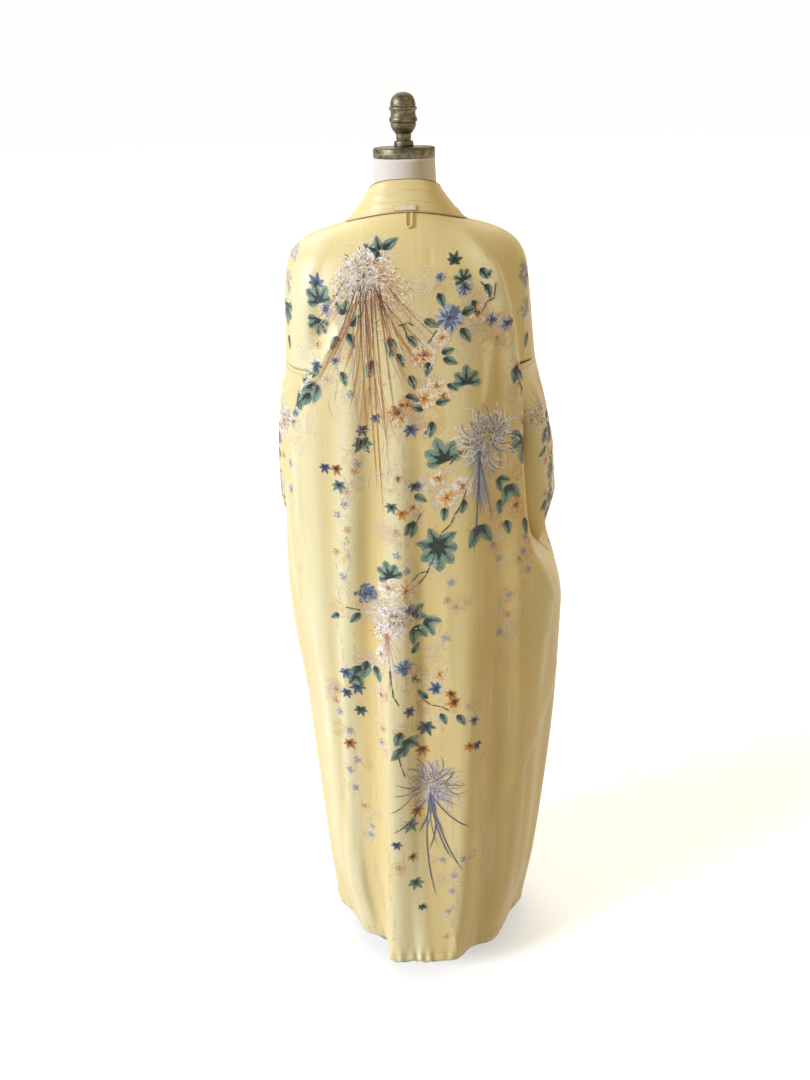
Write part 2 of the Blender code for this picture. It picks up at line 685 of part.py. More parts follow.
def label():
    """A bare woven tape sewn on the band at the centre back, just above the seam."""
    left, right = band_rows(LEFT)[:3], band_rows(RIGHT)[:3]
    path = np.concatenate([right[:0:-1], left])
    along = path[:, 0, 0]
    rows = []
    for x in np.linspace(-LABEL_WIDTH / 2, LABEL_WIDTH / 2, 5):
        seam, top = (
            np.array([np.interp(x, path[:, k, 0], path[:, k, axis]) for axis in (1, 2)])
            for k in (0, -1)
        )
        way = (top - seam) / np.linalg.norm(top - seam)
        out = np.array([way[1], -way[0]]) * LABEL_OFF
        spots = [seam + (top - seam) * part + out for part in (LABEL_FROM, LABEL_TO)]
        rows.append([[x, y, z] for y, z in spots])
    return sheet("label", [(np.array(rows), False)], LABEL_WALL, "label_tape")


def closed_body(name, rings, finish):
    """A piece of rings round a path, closed at both ends."""
    ends = [np.broadcast_to(ring.mean(axis=0), ring.shape) for ring in (rings[0], rings[-1])]
    grid = np.array([ends[0], *rings, ends[1]])
    points, faces = join_grids([(np.concatenate([grid, grid[:, :1]], axis=1), False)])
    mesh = bpy.data.meshes.new(name)
    mesh.from_pydata(points, [], faces)
    work = bmesh.new()
    work.from_mesh(mesh)
    bmesh.ops.remove_doubles(work, verts=work.verts, dist=0.00001)
    work.to_mesh(mesh)
    work.free()
    mesh.materials.append(material(finish))
    mesh.shade_smooth()
    piece = bpy.data.objects.new(name, mesh)
    COLLECTION.objects.link(piece)
    return piece


def hanging_loop():
    """A narrow loop of rolled silk from the neck seam, lying down the back."""
    turn = np.linspace(-math.pi / 2, math.pi / 2, 7)
    across = np.concatenate([[-1], np.sin(turn), [1]])
    round_end = LOOP_STRAIGHT + (1 - LOOP_STRAIGHT) * np.cos(turn)
    row = np.concatenate([[0], round_end, [0]]) * (LOOP_LENGTH - LOOP_TOP) + LOOP_TOP
    x = LOOP_MIDDLE + LOOP_HALF * across
    deep, height = column(SHOULDERS, "back", row), column(SHOULDERS, "back_height", row)
    y = deep * np.sqrt(1 - (x / column(SHOULDERS, "ridge_right", row)) ** 2)
    slope_y = column(SHOULDERS, "back", row + 0.05) - deep
    slope_z = column(SHOULDERS, "back_height", row + 0.05) - height
    out = np.stack([0 * x, -slope_z, slope_y], axis=-1)
    out /= np.linalg.norm(out, axis=-1, keepdims=True)
    path = np.stack([x, y, height], axis=-1) + out * (LOOP_RADIUS + LOOP_OFF)
    along = np.gradient(path, axis=0)
    beside = np.cross(along, out)
    beside /= np.linalg.norm(beside, axis=-1, keepdims=True)
    ring = np.linspace(0, 2 * math.pi, LOOP_TURNS, endpoint=False)[:, None]
    rings = [
        point + LOOP_RADIUS * (np.cos(ring) * away + np.sin(ring) * aside)
        for point, away, aside in zip(path, out, beside)
    ]
    return closed_body("hanging_loop", rings, "silk")


def chest_ring(chest, across, back):
    """One ring of the form's shoulders, just inside the rows of cloth that they carry."""
    half = min(column(SHOULDERS, key, chest.row) for key in ("ridge_left", "ridge_right"))
    angle = np.arctan2(np.abs(across), np.abs(back))
    part = angle / (math.pi / 2)
    behind = back >= 0
    blade = column(SHOULDERS, "back", chest.row) - BLADE_INSET
    back_height = column(SHOULDERS, "back_height", chest.row) - YOKE_DROP
    centre = np.where(behind, back_height, chest.height)
    rise = np.where(behind, ease(part), ease((part - YOKE_START) / (1 - YOKE_START)))
    x, y = arc_point(
        angle,
        half - YOKE_INSET,
        np.where(behind, blade, chest.deep),
        column(SHOULDERS, "square", chest.row),
    )
    top = column(SHOULDERS, "ridge_height", chest.row) - YOKE_DROP
    height = centre + (top - centre) * rise
    return np.stack([np.copysign(x, across), np.where(behind, y, -y), height], axis=-1)


def form_body():
    """The linen-covered dress form: the neck, the shoulders that carry the cloth, the bust,
    the waist and the hips, closed underneath."""
    turn = np.linspace(0, 2 * math.pi, BODY_TURNS, endpoint=False)
    across, back = np.sin(turn), np.cos(turn)
    rings = [np.stack([r * across, r * back, z + 0 * turn], axis=-1) for r, z in NECK_PROFILE]
    rings += [chest_ring(chest, across, back) for chest in CHEST]
    for figure in FIGURE[::-1]:
        deep = np.where(back >= 0, figure.back, figure.front)
        level = figure.height + 0 * turn
        rings.append(np.stack([figure.half * across, deep * back, level], axis=-1))
    return closed_body("form_body", rings, "linen")


def turned(name, profile, finish, steps):
    """A turned piece: its profile, from the top down its outer side, spun round the axis."""
    outline = [(0.0, profile[0][1]), *profile, (0.0, profile[-1][1])]
    mesh = bpy.data.meshes.new(name)
    mesh.from_pydata(
        [(radius, 0, height) for radius, height in outline],
        [(k, k + 1) for k in range(len(outline) - 1)],
        [],
    )
    mesh.materials.append(material(finish))
    piece = bpy.data.objects.new(name, mesh)
    COLLECTION.objects.link(piece)
    spin = piece.modifiers.new("Spin", "SCREW")
    spin.steps = spin.render_steps = steps
    spin.use_merge_vertices = True
    spin.merge_threshold = 0.0001
    return piece


def pole():
    foot, top = HUB_TOP + TOUCH, BODY_FOOT - TOUCH
    bpy.ops.mesh.primitive_cylinder_add(
        vertices=16, radius=POLE_RADIUS, depth=top - foot, location=(0, 0, (foot + top) / 2)
    )
    made = bpy.context.active_object
    made.name = made.data.name = "pole"
    made.data.materials.append(material("dark_steel"))
    for collection in list(made.users_collection):
        collection.objects.unlink(made)
    COLLECTION.objects.link(made)
    return made


def main():
    body_back()
    for side in (LEFT, RIGHT):
        body_front(side)
        sleeve(side)
    collar()
    label()
    hanging_loop()
    form_body()
    turned("neck_cap", CAP_PROFILE, "antique_brass", TURNS)
    turned("finial", FINIAL_PROFILE, "antique_brass", FINIAL_TURNS)
    pole()
    turned("stand_base", BASE_PROFILE, "cast_iron", TURNS)


clear_scene()
COLLECTION = new_collection("kimono_on_dress_form")
main()
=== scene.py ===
# %% [markdown]
# # A silk kimono on a dress form
# The garment is a long robe of pale gold silk, painted with flowers, seen from behind on a
# linen dress form with a turned brass finial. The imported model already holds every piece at
# its real size. This lesson gives each piece the surface that a close look shows: draped
# cloth with its creases, the painted flowers, woven linen and worn brass.

import math
from collections import namedtuple

import bmesh
import bpy
import numpy as np
from mathutils import Matrix, Vector


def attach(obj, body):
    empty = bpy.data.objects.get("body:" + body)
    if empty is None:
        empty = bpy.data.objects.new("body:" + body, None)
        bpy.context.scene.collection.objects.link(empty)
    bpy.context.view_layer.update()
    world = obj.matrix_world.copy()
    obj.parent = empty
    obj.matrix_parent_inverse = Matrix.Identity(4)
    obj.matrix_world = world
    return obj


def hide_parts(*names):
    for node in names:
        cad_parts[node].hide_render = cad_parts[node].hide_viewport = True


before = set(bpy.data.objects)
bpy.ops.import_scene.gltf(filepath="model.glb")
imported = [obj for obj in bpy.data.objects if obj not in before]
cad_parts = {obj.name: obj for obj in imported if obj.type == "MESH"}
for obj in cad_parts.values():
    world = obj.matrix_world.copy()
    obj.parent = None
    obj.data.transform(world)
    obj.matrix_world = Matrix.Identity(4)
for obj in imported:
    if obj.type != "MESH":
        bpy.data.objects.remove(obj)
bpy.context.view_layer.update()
print("nodes:", ", ".join(sorted(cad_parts)))

# %% [markdown]
# ## Camera
# A photograph of a tall object from close by shows its foot smaller than its shoulders. To
# get the same picture, the camera needs the same height, distance, tilt and focal length,
# and not only the same direction. The axes below are worked out from the tilt, the small
# turn about the vertical and the small roll.

# %% Camera
FRAME_HEIGHT = 1080
FOCAL_PIXELS = 1033.0
CAMERA_PLACE = (0.0, 1.70, 1.6155)
TILT, TURN, ROLL = math.radians(24.3), math.radians(0.51), math.radians(1.6)


def add_camera():
    """Looks along -Y and down by the tilt; the turn is about Z and the roll about the view."""
    forward = Vector((0, -math.cos(TILT), -math.sin(TILT)))
    right = Vector((-1, 0, 0))
    up = right.cross(forward)
    spin = Matrix.Rotation(TURN, 3, "Z")
    forward, right, up = spin @ forward, spin @ right, spin @ up
    right, up = (
        math.cos(ROLL) * right - math.sin(ROLL) * up,
        math.sin(ROLL) * right + math.cos(ROLL) * up,
    )
    data = bpy.data.cameras.new("camera")
    data.lens = FOCAL_PIXELS / FRAME_HEIGHT * data.sensor_width
    camera = bpy.data.objects.new("camera", data)
    bpy.context.scene.collection.objects.link(camera)
    axes = Matrix((right, up, -forward)).transposed().to_4x4()
    camera.matrix_world = Matrix.Translation(CAMERA_PLACE) @ axes
    bpy.context.scene.camera = camera
    print("lens", round(data.lens, 2), "mm")


add_camera()

# %% [markdown]
# ## Light
# Silk shows its folds by soft highlights. A broad sun rakes over the back from the left, so
# that each fold has a lit side and a dark side, and a weak warm one from the right keeps the
# dark sides from going black. The world is white overhead and towards the far side of the
# object, which makes a pale floor and a white ground in the picture. Round the camera it is
# dim, which keeps the shadows in the folds.

# %% Lights
WORLD_COLOUR = (1.0, 0.90, 0.72, 1.0)
WORLD_DIM, WORLD_WHITE, WORLD_ABOVE = 0.18, 1.0, 0.40
Lamp = namedtuple("Lamp", "name side height strength spread colour")
LAMPS = (
    Lamp("key", 66, 20, 3.5, 18, (0.95, 1.0, 1.12)),
    Lamp("fill", -66, 24, 0.85, 60, (1.0, 0.74, 0.38)),
    Lamp("front", 160, 40, 0.7, 40, (1.0, 0.98, 0.95)),
)


def add_light(lamp):
    """A sun from a side, in degrees from +Y towards +X, and a height over the floor."""
    data = bpy.data.lights.new(lamp.name, "SUN")
    data.energy, data.angle, data.color = lamp.strength, math.radians(lamp.spread), lamp.colour
    light = bpy.data.objects.new(lamp.name, data)
    side, height = math.radians(lamp.side), math.radians(lamp.height)
    level = math.cos(height)
    aim = Vector((-math.sin(side) * level, -math.cos(side) * level, -math.sin(height)))
    light.rotation_euler = aim.to_track_quat("-Z", "Y").to_euler()
    bpy.context.scene.collection.objects.link(light)


for lamp in LAMPS:
    add_light(lamp)
bpy.context.scene.view_settings.view_transform = "Standard"

# %% [markdown]
# ## Shader sums
# A material is a network of nodes. Written as Python sums it stays readable: the class
# below wraps a socket, and each operator adds the Math node that does it.

# %% Sockets that can be added and multiplied
NOISE_ROUGHNESS = 0.55


def linear(code):
    """A hex colour such as "e8d08c" as linear red, green, blue."""
    parts = [int(code[k : k + 2], 16) / 255 for k in (0, 2, 4)]
    return tuple(p / 12.92 if p <= 0.04045 else ((p + 0.055) / 1.055) ** 2.4 for p in parts)


def feed(slot, value):
    """Links a sum to a slot, or sets the slot to a hex colour or a plain value."""
    if isinstance(value, Sum):
        value.tree.links.new(value.socket, slot)
    else:
        slot.default_value = (*linear(value), 1.0) if isinstance(value, str) else value


class Sum:
    """A node socket in a material, with the operators that the finishes use."""

    def __init__(self, tree, socket):
        self.tree, self.socket = tree, socket

    def _math(self, operation, *values):
        made = self.tree.nodes.new("ShaderNodeMath")
        made.operation = operation
        for slot, value in zip(made.inputs, values):
            feed(slot, value)
        return Sum(self.tree, made.outputs[0])

    def __add__(self, other):
        return self._math("ADD", self, other)

    def __mul__(self, other):
        return self._math("MULTIPLY", self, other)

    def __sub__(self, other):
        return self._math("SUBTRACT", self, other)

    def __rsub__(self, other):
        return self._math("SUBTRACT", other, self)

    __radd__, __rmul__ = __add__, __mul__

    def size(self):
        return self._math("ABSOLUTE", self)

    def step(self, low, high):
        """0 below low, 1 above high and smooth between."""
        made = self.tree.nodes.new("ShaderNodeMapRange")
        made.interpolation_type = "SMOOTHSTEP"
        for name, value in (("Value", self), ("From Min", low), ("From Max", high)):
            feed(made.inputs[name], value)
        return Sum(self.tree, made.outputs["Result"])


class Finish:
    """A material with its Principled shader, and one method that adds any other node."""

    def __init__(self, name, **values):
        self.material = bpy.data.materials.new(name)
        self.material.use_nodes = True
        self.tree = self.material.node_tree
        self.shader = self.tree.nodes["Principled BSDF"]
        self.show(**values)

    def show(self, **values):
        """Feeds the shader's own slots: base_color is its Base Color, and so on."""
        for key, value in values.items():
            name = key.replace("_", " ").title().replace("Ior", "IOR")
            feed(self.shader.inputs[name], value)

    def node(self, kind, settings=(), output=0, **values):
        made = self.tree.nodes.new("ShaderNode" + kind)
        for key, value in dict(settings).items():
            setattr(made, key, value)
        for key, value in values.items():
            feed(made.inputs[key], value)
        return Sum(self.tree, made.outputs[output])

    def attribute(self, name):
        return self.node("Attribute", {"attribute_name": name}, output=1)

    def place(self):
        return self.node("TexCoord", output=3)

    def noise(self, place, scale, detail):
        """Noise at a place, which a scale of three numbers stretches first."""
        if isinstance(scale, tuple):
            place, scale = self.node("Mapping", Vector=place, Scale=scale), 1.0
        shape = {"Scale": scale, "Detail": detail, "Roughness": NOISE_ROUGHNESS}
        return self.node("TexNoise", Vector=place, **shape)

    def parts(self, vector):
        made = self.tree.nodes.new("ShaderNodeSeparateXYZ")
        feed(made.inputs[0], vector)
        return [Sum(self.tree, slot) for slot in made.outputs]

    def joined(self, x, y, z):
        return self.node("CombineXYZ", X=x, Y=y, Z=z)

    def mix(self, first, second, share):
        """Two colours mixed: first where share is 0 and second where it is 1."""
        made = self.tree.nodes.new("ShaderNodeMix")
        made.data_type = "RGBA"
        for slot, value in ((0, share), (6, first), (7, second)):
            feed(made.inputs[slot], value)
        return Sum(self.tree, made.outputs[2])

    def bump(self, height, distance, strength):
        self.show(normal=self.node("Bump", Height=height, Distance=distance, Strength=strength))


print("shader sums ready")

# %% [markdown]
# ## Floor finish
# The floor is one large plain sheet, a little rough. It glows faintly, which keeps the
# shadow on it pale. It is left out of the light that bounces on to the robe, which would
# fill every fold.

# %% Floor
FLOOR_HALF, BACKDROP_SHARE = 30.0, 0.95
FLOOR_GLOW, FLOOR_GLOW_STRENGTH = (0.86, 0.94, 1.0, 1.0), 0.42
BACKDROP_GLOW = (1.0, 0.995, 0.985, 1.0)
FAR_FROM, FAR_FULL, ABOVE_FROM, ABOVE_FULL = 0.25, 0.80, 0.45, 0.85


def add_world():
    """Dim to white as the direction turns towards -Y or overhead: each is smoothed, and
    they are joined as 1 less the product of what each leaves dark."""
    world = bpy.data.worlds.new("studio")
    world.use_nodes = True
    tree = world.node_tree
    place = tree.nodes.new("ShaderNodeTexCoord")
    parts = tree.nodes.new("ShaderNodeSeparateXYZ")
    tree.links.new(place.outputs["Generated"], parts.inputs[0])
    far = (0.0 - Sum(tree, parts.outputs["Y"])).step(FAR_FROM, FAR_FULL)
    above = Sum(tree, parts.outputs["Z"]).step(ABOVE_FROM, ABOVE_FULL) * WORLD_ABOVE
    shown = 1.0 - (1.0 - far) * (1.0 - above)
    strength = WORLD_DIM + (WORLD_WHITE - WORLD_DIM) * shown
    feed(tree.nodes["Background"].inputs["Color"], WORLD_COLOUR)
    feed(tree.nodes["Background"].inputs["Strength"], strength)
    bpy.context.scene.world = world


def on_stage(name, mesh, finish, hidden_from):
    """Something of the studio, hidden from the named kinds of light."""
    mesh.materials.append(finish.material)
    made = bpy.data.objects.new(name, mesh)
    bpy.context.scene.collection.objects.link(made)
    for kind in hidden_from:
        setattr(made, "visible_" + kind, False)


def add_floor():
    glow = {"emission_color": FLOOR_GLOW, "emission_strength": FLOOR_GLOW_STRENGTH}
    finish = Finish("floor", base_color="f4f2ee", roughness=0.9, **glow)
    mesh = bpy.data.meshes.new("floor")
    corners = ((-1, -1), (1, -1), (1, 1), (-1, 1))
    mesh.from_pydata([(x * FLOOR_HALF, y * FLOOR_HALF, 0) for x, y in corners], [], [(0, 1, 2, 3)])
    on_stage("floor", mesh, finish, ("diffuse",))


def add_backdrop():
    """A white sphere far round everything, seen from inside. Only the camera sees it, so it
    gives the picture its white ground from every side and adds no light."""
    mesh = bpy.data.meshes.new("backdrop")
    work = bmesh.new()
    radius = FLOOR_HALF * BACKDROP_SHARE
    bmesh.ops.create_uvsphere(work, u_segments=48, v_segments=24, radius=radius)
    bmesh.ops.reverse_faces(work, faces=work.faces)
    work.to_mesh(mesh)
    work.free()
    glow = {"emission_color": BACKDROP_GLOW, "emission_strength": 1.0}
    black = {"base_color": "000000", "roughness": 1.0, "specular_ior_level": 0.0}
    on_stage("backdrop", mesh, Finish("backdrop", **black, **glow), ("diffuse", "glossy", "shadow"))


add_world()
add_floor()
add_backdrop()

# %% [markdown]
# ## The sizes of the robe
# The robe hangs from the shoulders as a tube that is wider than deep. Tables give its half
# width and depth at a few heights, and how square its section is. Beside the sleeves the
# cloth turns under at a hanging fold, and the side seam lies in a groove there. The cloth
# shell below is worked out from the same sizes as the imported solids, so it lies on them.

# %% Sizes of the cloth
LEFT, RIGHT = 1, -1
BACK, FRONT = 1, -1
CLOTH = 0.0007
SEAM_GAP, BAND_GAP, SLEEVE_GAP = 0.0005, 0.0008, 0.0013
ARMHOLE = 1.190
HEM_BACK, HEM_SIDE, HEM_FRONT = 0.045, 0.060, 0.050
SEAM_SINK = 0.012
BAND_WIDTH, OPENING = 0.055, 0.0035


def table(kind, *rows):
    """Rows of numbers, with the names of the kind's columns."""
    return [kind(*row) for row in rows]


Trunk = namedtuple("Trunk", "height half_left half_right back front square")
TRUNK = table(
    Trunk,
    (0.04, 0.173, 0.206, 0.213, 0.19, 1.85), (0.1, 0.18, 0.222, 0.211, 0.189, 1.9),
    (0.2, 0.19, 0.24, 0.207, 0.187, 2.05), (0.32, 0.196, 0.249, 0.202, 0.184, 2.15),
    (0.45, 0.202, 0.257, 0.195, 0.18, 2.2), (0.56, 0.206, 0.262, 0.188, 0.176, 2.25),
    (0.66, 0.214, 0.261, 0.181, 0.172, 2.3), (0.74, 0.224, 0.267, 0.175, 0.168, 2.3),
    (0.79, 0.2265, 0.27, 0.17, 0.166, 2.35), (0.87, 0.23, 0.258, 0.163, 0.162, 2.4),
    (0.95, 0.229, 0.236, 0.157, 0.158, 2.45), (1.07, 0.222, 0.218, 0.148, 0.154, 2.55),
    (1.19, 0.204, 0.2085, 0.138, 0.15, 2.6),
)
Groove = namedtuple("Groove", "height back_edge front_edge seam")
GROOVES = {
    LEFT: table(
        Groove,
        (0.04, 0.15, 0.15, 0.173), (0.56, 0.178, 0.178, 0.206), (0.74, 0.198, 0.196, 0.224),
        (0.8, 0.206, 0.204, 0.2255), (0.87, 0.214, 0.214, 0.214), (0.93, 0.214, 0.216, 0.186),
        (1, 0.21, 0.21, 0.164), (1.07, 0.198, 0.2, 0.152), (1.13, 0.172, 0.18, 0.15),
        (1.19, 0.142, 0.15, 0.15),
    ),
    RIGHT: table(
        Groove,
        (0.04, 0.178, 0.178, 0.206), (0.56, 0.226, 0.226, 0.262), (0.74, 0.226, 0.236, 0.267),
        (0.8, 0.208, 0.242, 0.258), (0.87, 0.184, 0.242, 0.196), (0.93, 0.179, 0.23, 0.168),
        (1, 0.175, 0.214, 0.158), (1.07, 0.17, 0.202, 0.154), (1.13, 0.166, 0.186, 0.151),
        (1.19, 0.162, 0.16, 0.15),
    ),
}
Shoulder = namedtuple(
    "Shoulder",
    "row ridge_left ridge_right ridge_height back back_height front edge edge_height"
    " square fold_left fold_right sink_left sink_right",
)
SHOULDERS = table(
    Shoulder,
    (0, 0.095, 0.097, 1.405, 0.078, 1.424, 0.07, 0.093, 1.398, 2, 40, 44, 0, 0),
    (1, 0.127, 0.128, 1.397, 0.096, 1.399, 0.071, 0.092, 1.372, 2.1, 32, 43, 0, 0.001),
    (2, 0.158, 0.159, 1.384, 0.108, 1.374, 0.098, 0.086, 1.335, 2.2, 25, 42, 0, 0.003),
    (3, 0.1805, 0.1805, 1.366, 0.118, 1.346, 0.118, 0.078, 1.298, 2.35, 21, 42, 0, 0.006),
    (4, 0.1925, 0.192, 1.34, 0.125, 1.316, 0.133, 0.071, 1.265, 2.45, 20, 43, 0, 0.008),
    (5, 0.199, 0.198, 1.292, 0.13, 1.278, 0.143, 0.066, 1.238, 2.55, 22, 45, 0.002, 0.009),
    (6, 0.2015, 0.203, 1.24, 0.134, 1.235, 0.148, 0.063, 1.213, 2.6, 30, 48, 0.006, 0.01),
    (7, 0.204, 0.2085, 1.19, 0.138, 1.19, 0.15, 0.061, 1.19, 2.6, 39, 46, 0.008, 0.01),
)
FrontEdge = namedtuple("FrontEdge", "height seam")
FRONT_EDGE = table(
    FrontEdge,
    (0.04, BAND_WIDTH + OPENING), (1, BAND_WIDTH + OPENING), (1.19, 0.061),
)
print("robe", round(TRUNK[8].half_left + TRUNK[8].half_right, 3), "m across at its widest")

# %% [markdown]
# ## Long folds
# Cloth that hangs from the shoulders falls in long soft folds. Each is a ridge or a trough
# that runs down the robe at an angle round the section, and wider ones lie further apart.

# %% Long folds
LongFold = namedtuple("LongFold", "top_angle foot_angle top width rise")
LONG_FOLDS = table(
    LongFold,
    (9, 19, 1, 6, 0.009), (-3, 6, 0.98, 5.5, -0.006), (-20, -17, 0.9, 6.5, 0.007),
    (-33, -28, 1.02, 6, -0.006), (-46, -41, 0.8, 7, 0.008), (30, 34, 1.05, 6, -0.005),
    (42, 48, 0.95, 6.5, 0.0065), (68, 66, 0.78, 7, -0.006), (-66, -62, 0.72, 7, -0.007),
    (122, 126, 0.8, 7.5, -0.0075), (143, 145, 1, 7.5, 0.008), (-120, -124, 0.8, 7.5, -0.0075),
    (-142, -146, 1, 7.5, 0.008),
)
FOLD_START, FOLD_FOOT = 2.2, -0.10
TUCK_ANGLE, TUCK_TURN, TUCK_END = 21.5, 3.0, 95.0
TUCK_DEPTH, TUCK_TOP = 0.030, 0.30
TURN_REACH, TURN_RETURN, TURN_DEEPER, GROOVE_DEEP = 0.42, 0.55, 0.25, 0.04
FOLDS_FADE = 0.8
SINK_FULL, SINK_KEPT = 0.16, 0.20
FRONT_FOLD_LEAST = 0.35
SEAM_BLEND_ROW, LAST_ROW = 5.5, 7


def on_side(name, side):
    return name + ("_left" if side == LEFT else "_right")


def on_face(face, back, front):
    return back if face == BACK else front


def column(rows, name, at):
    """A table's column at any place: a smooth curve that never passes the table's values.
    The slope at each row is the harmonic mean of the slopes beside it."""
    place = np.array([row[0] for row in rows], float)
    value = np.array([getattr(row, name) for row in rows], float)
    step = np.diff(place)
    slope = np.diff(value) / step
    lean = np.zeros(len(value))
    product = slope[1:] * slope[:-1]
    lean[1:-1] = np.where(product > 0, 2 * product / (slope[1:] + slope[:-1] + 1e-12), 0)
    lean[0], lean[-1] = slope[0], slope[-1]
    at = np.clip(at, place[0], place[-1])
    low = np.clip(np.searchsorted(place, at) - 1, 0, len(step) - 1)
    part = (at - place[low]) / step[low]
    rise = value[low + 1] - value[low]
    bend = step[low] * (lean[low] * (1 - part) - lean[low + 1] * part)
    return value[low] + rise * part * part * (3 - 2 * part) + part * (1 - part) * bend


def ease(part):
    """0 to 1 with level ends: 3 times the square less twice the cube."""
    part = np.clip(part, 0, 1)
    return part * part * (3 - 2 * part)


def arc_point(angle, half, deep, square):
    """A point of a squared ellipse: half width times sine, and depth times cosine, each
    raised to 2 over the squareness."""
    return half * np.sin(angle) ** (2 / square), deep * np.cos(angle) ** (2 / square)


def arc_angle(across, half, square):
    return np.arcsin(np.clip((across / half) ** (square / 2), 0, 1))


def long_folds(angle, height):
    """Each fold is a bell curve round its own angle, which drifts on the way down."""
    lift = np.zeros_like(angle)
    for fold in LONG_FOLDS:
        down = np.clip((fold.top - height) / (fold.top - FOLD_FOOT), 0, 1)
        middle = fold.top_angle + (fold.foot_angle - fold.top_angle) * down
        off = (angle - middle + 180) % 360 - 180
        lift = lift + fold.rise * ease(down * FOLD_START) * np.exp(-((off / fold.width) ** 2))
    return lift


def hem_tuck(angle, height):
    past = ease((angle - TUCK_ANGLE) / TUCK_TURN)
    fade = 1 - ease((angle - TUCK_ANGLE) / (TUCK_END - TUCK_ANGLE))
    return TUCK_DEPTH * past * fade * ease((TUCK_TOP - height) / TUCK_TOP)


def relief(x, y, half, deep, height, side):
    """Moves a section's points by the folds, along the way that faces out of it."""
    angle = np.degrees(np.arctan2(side * x / half, y / deep))
    lift = long_folds(angle, height) - hem_tuck(angle, height)
    out_x, out_y = x / half**2, y / deep**2
    size = np.hypot(out_x, out_y)
    return x + lift * out_x / size, y + lift * out_y / size


def trunk_section(side, face, height):
    return (
        column(TRUNK, on_side("half", side), height),
        column(TRUNK, on_face(face, "back", "front"), height),
        column(TRUNK, "square", height),
    )


def trunk_point(side, face, across, height):
    """Across runs from 0 at the centre or the front edge, by 1 at the hanging fold, to 2 at
    the side seam. Up to the fold it is the squared ellipse, and past it a Bezier curve."""
    half, deep, square = trunk_section(side, face, height)
    edge = column(GROOVES[side], on_face(face, "back_edge", "front_edge"), height)
    seam = column(GROOVES[side], "seam", height)
    start = 0 * height
    if face == FRONT:
        start = arc_angle(column(FRONT_EDGE, "seam", height) + BAND_GAP, half, square)
    fold = arc_angle(edge, half, square)
    x, y = arc_point(start + (fold - start) * np.clip(across, 0, 1), half, deep, square)
    edge_x, edge_y = arc_point(fold, half, deep, square)
    near_x, near_y = arc_point(fold - 0.02, half, deep, square)
    way_x, way_y = edge_x - near_x, edge_y - near_y
    size = np.hypot(way_x, way_y)
    reach = TURN_REACH * edge_y
    first_x, first_y = edge_x + reach * way_x / size, edge_y + reach * way_y / size
    second_y = edge_y * (TURN_RETURN + TURN_DEEPER * ease((half - seam) / GROOVE_DEEP))
    t = np.clip(across - 1, 0, 1)
    weights = ((1 - t) ** 3, 3 * t * (1 - t) ** 2, 3 * t * t * (1 - t), t**3)
    side_x = sum(w * k for w, k in zip(weights, (edge_x, first_x, seam, seam)))
    side_y = sum(w * k for w, k in zip(weights, (edge_y, first_y, second_y, SEAM_GAP)))
    past = across > 1
    x, y = np.where(past, side_x, x), np.where(past, side_y, y)
    lifted_x, lifted_y = relief(x, face * y, half, deep, height, side)
    keep = 1 - ease((across - 1) / FOLDS_FADE)
    x = x + (lifted_x - x) * keep
    y = y + (face * lifted_y - y) * keep
    return side * x, face * y, height


def seam_fold(side, face):
    half, _, square = trunk_section(side, face, ARMHOLE)
    edge = column(GROOVES[side], on_face(face, "back_edge", "front_edge"), ARMHOLE)
    return arc_angle(edge, half, square)


def shoulder_point(side, face, across, row):
    """The cloth over the shoulder, by the table's row and the same count across."""
    half = column(SHOULDERS, on_side("ridge", side), row)
    deep = column(SHOULDERS, on_face(face, "back", "front"), row)
    square = column(SHOULDERS, "square", row)
    ridge_height = column(SHOULDERS, "ridge_height", row)
    fold = np.radians(column(SHOULDERS, on_side("fold", side), row))
    start = 0 * row
    first_height = column(SHOULDERS, on_face(face, "back_height", "edge_height"), row)
    if face == FRONT:
        start = arc_angle(column(SHOULDERS, "edge", row) + BAND_GAP, half, square)
        fold = np.maximum(fold, start + (math.pi / 2 - start) * FRONT_FOLD_LEAST)
    blend = ease((row - SEAM_BLEND_ROW) / (LAST_ROW - SEAM_BLEND_ROW))
    fold = fold + (seam_fold(side, face) - fold) * blend
    end = math.pi / 2 - SEAM_GAP / deep
    near = start + (fold - start) * np.clip(across, 0, 1)
    past = np.clip(across - 1, 0, 1)
    angle = np.where(across > 1, fold + (end - fold) * past, near)
    x, y = arc_point(angle, half, deep, square)
    part = (angle - start) / (math.pi / 2 - start)
    rise = ease(part) if face == BACK else np.sin(part * math.pi / 2)
    height = first_height + (ridge_height - first_height) * rise
    sink = column(SHOULDERS, on_side("sink", side), row)
    y = y - sink * ease(past / SINK_FULL) * (1 - ease((past - SINK_KEPT) / (1 - SINK_KEPT)))
    return side * x, face * y, height


print(len(LONG_FOLDS), "long folds")

# %% [markdown]
# ## From grid to flat cloth
# Print, weave and stitches follow the cloth, and not the room. So each point of a panel also
# gets its place on the flat cloth: u is the length along its row from the centre line, and v
# the length down from the neck. Everything painted later is placed by u and v. A panel is
# kept as one array of points, and the row at the sleeve seams is there twice, because the
# cloth beside the hanging fold is open there and the sleeve is sewn on.

# %% A panel as one array of points
Panel = namedtuple("Panel", "name points normals u v split turned lift")
SHOULDER_ROWS, TRUNK_ROWS, ROWS_CROWD = 74, 226, 1.1
SINK_BLEND = 0.25


def slopes(points):
    """Unit normals: the cross product of the slopes along and down the grid."""
    normal = np.cross(np.gradient(points, axis=1), np.gradient(points, axis=0))
    return normal / (np.linalg.norm(normal, axis=-1, keepdims=True) + 1e-12)


def outward(points, split, turned):
    """Normals that face out, worked out above and below the sleeve seams apart."""
    parts = (points[:split], points[split:]) if split else (points,)
    normals = np.concatenate([slopes(part) for part in parts])
    return -normals if turned else normals


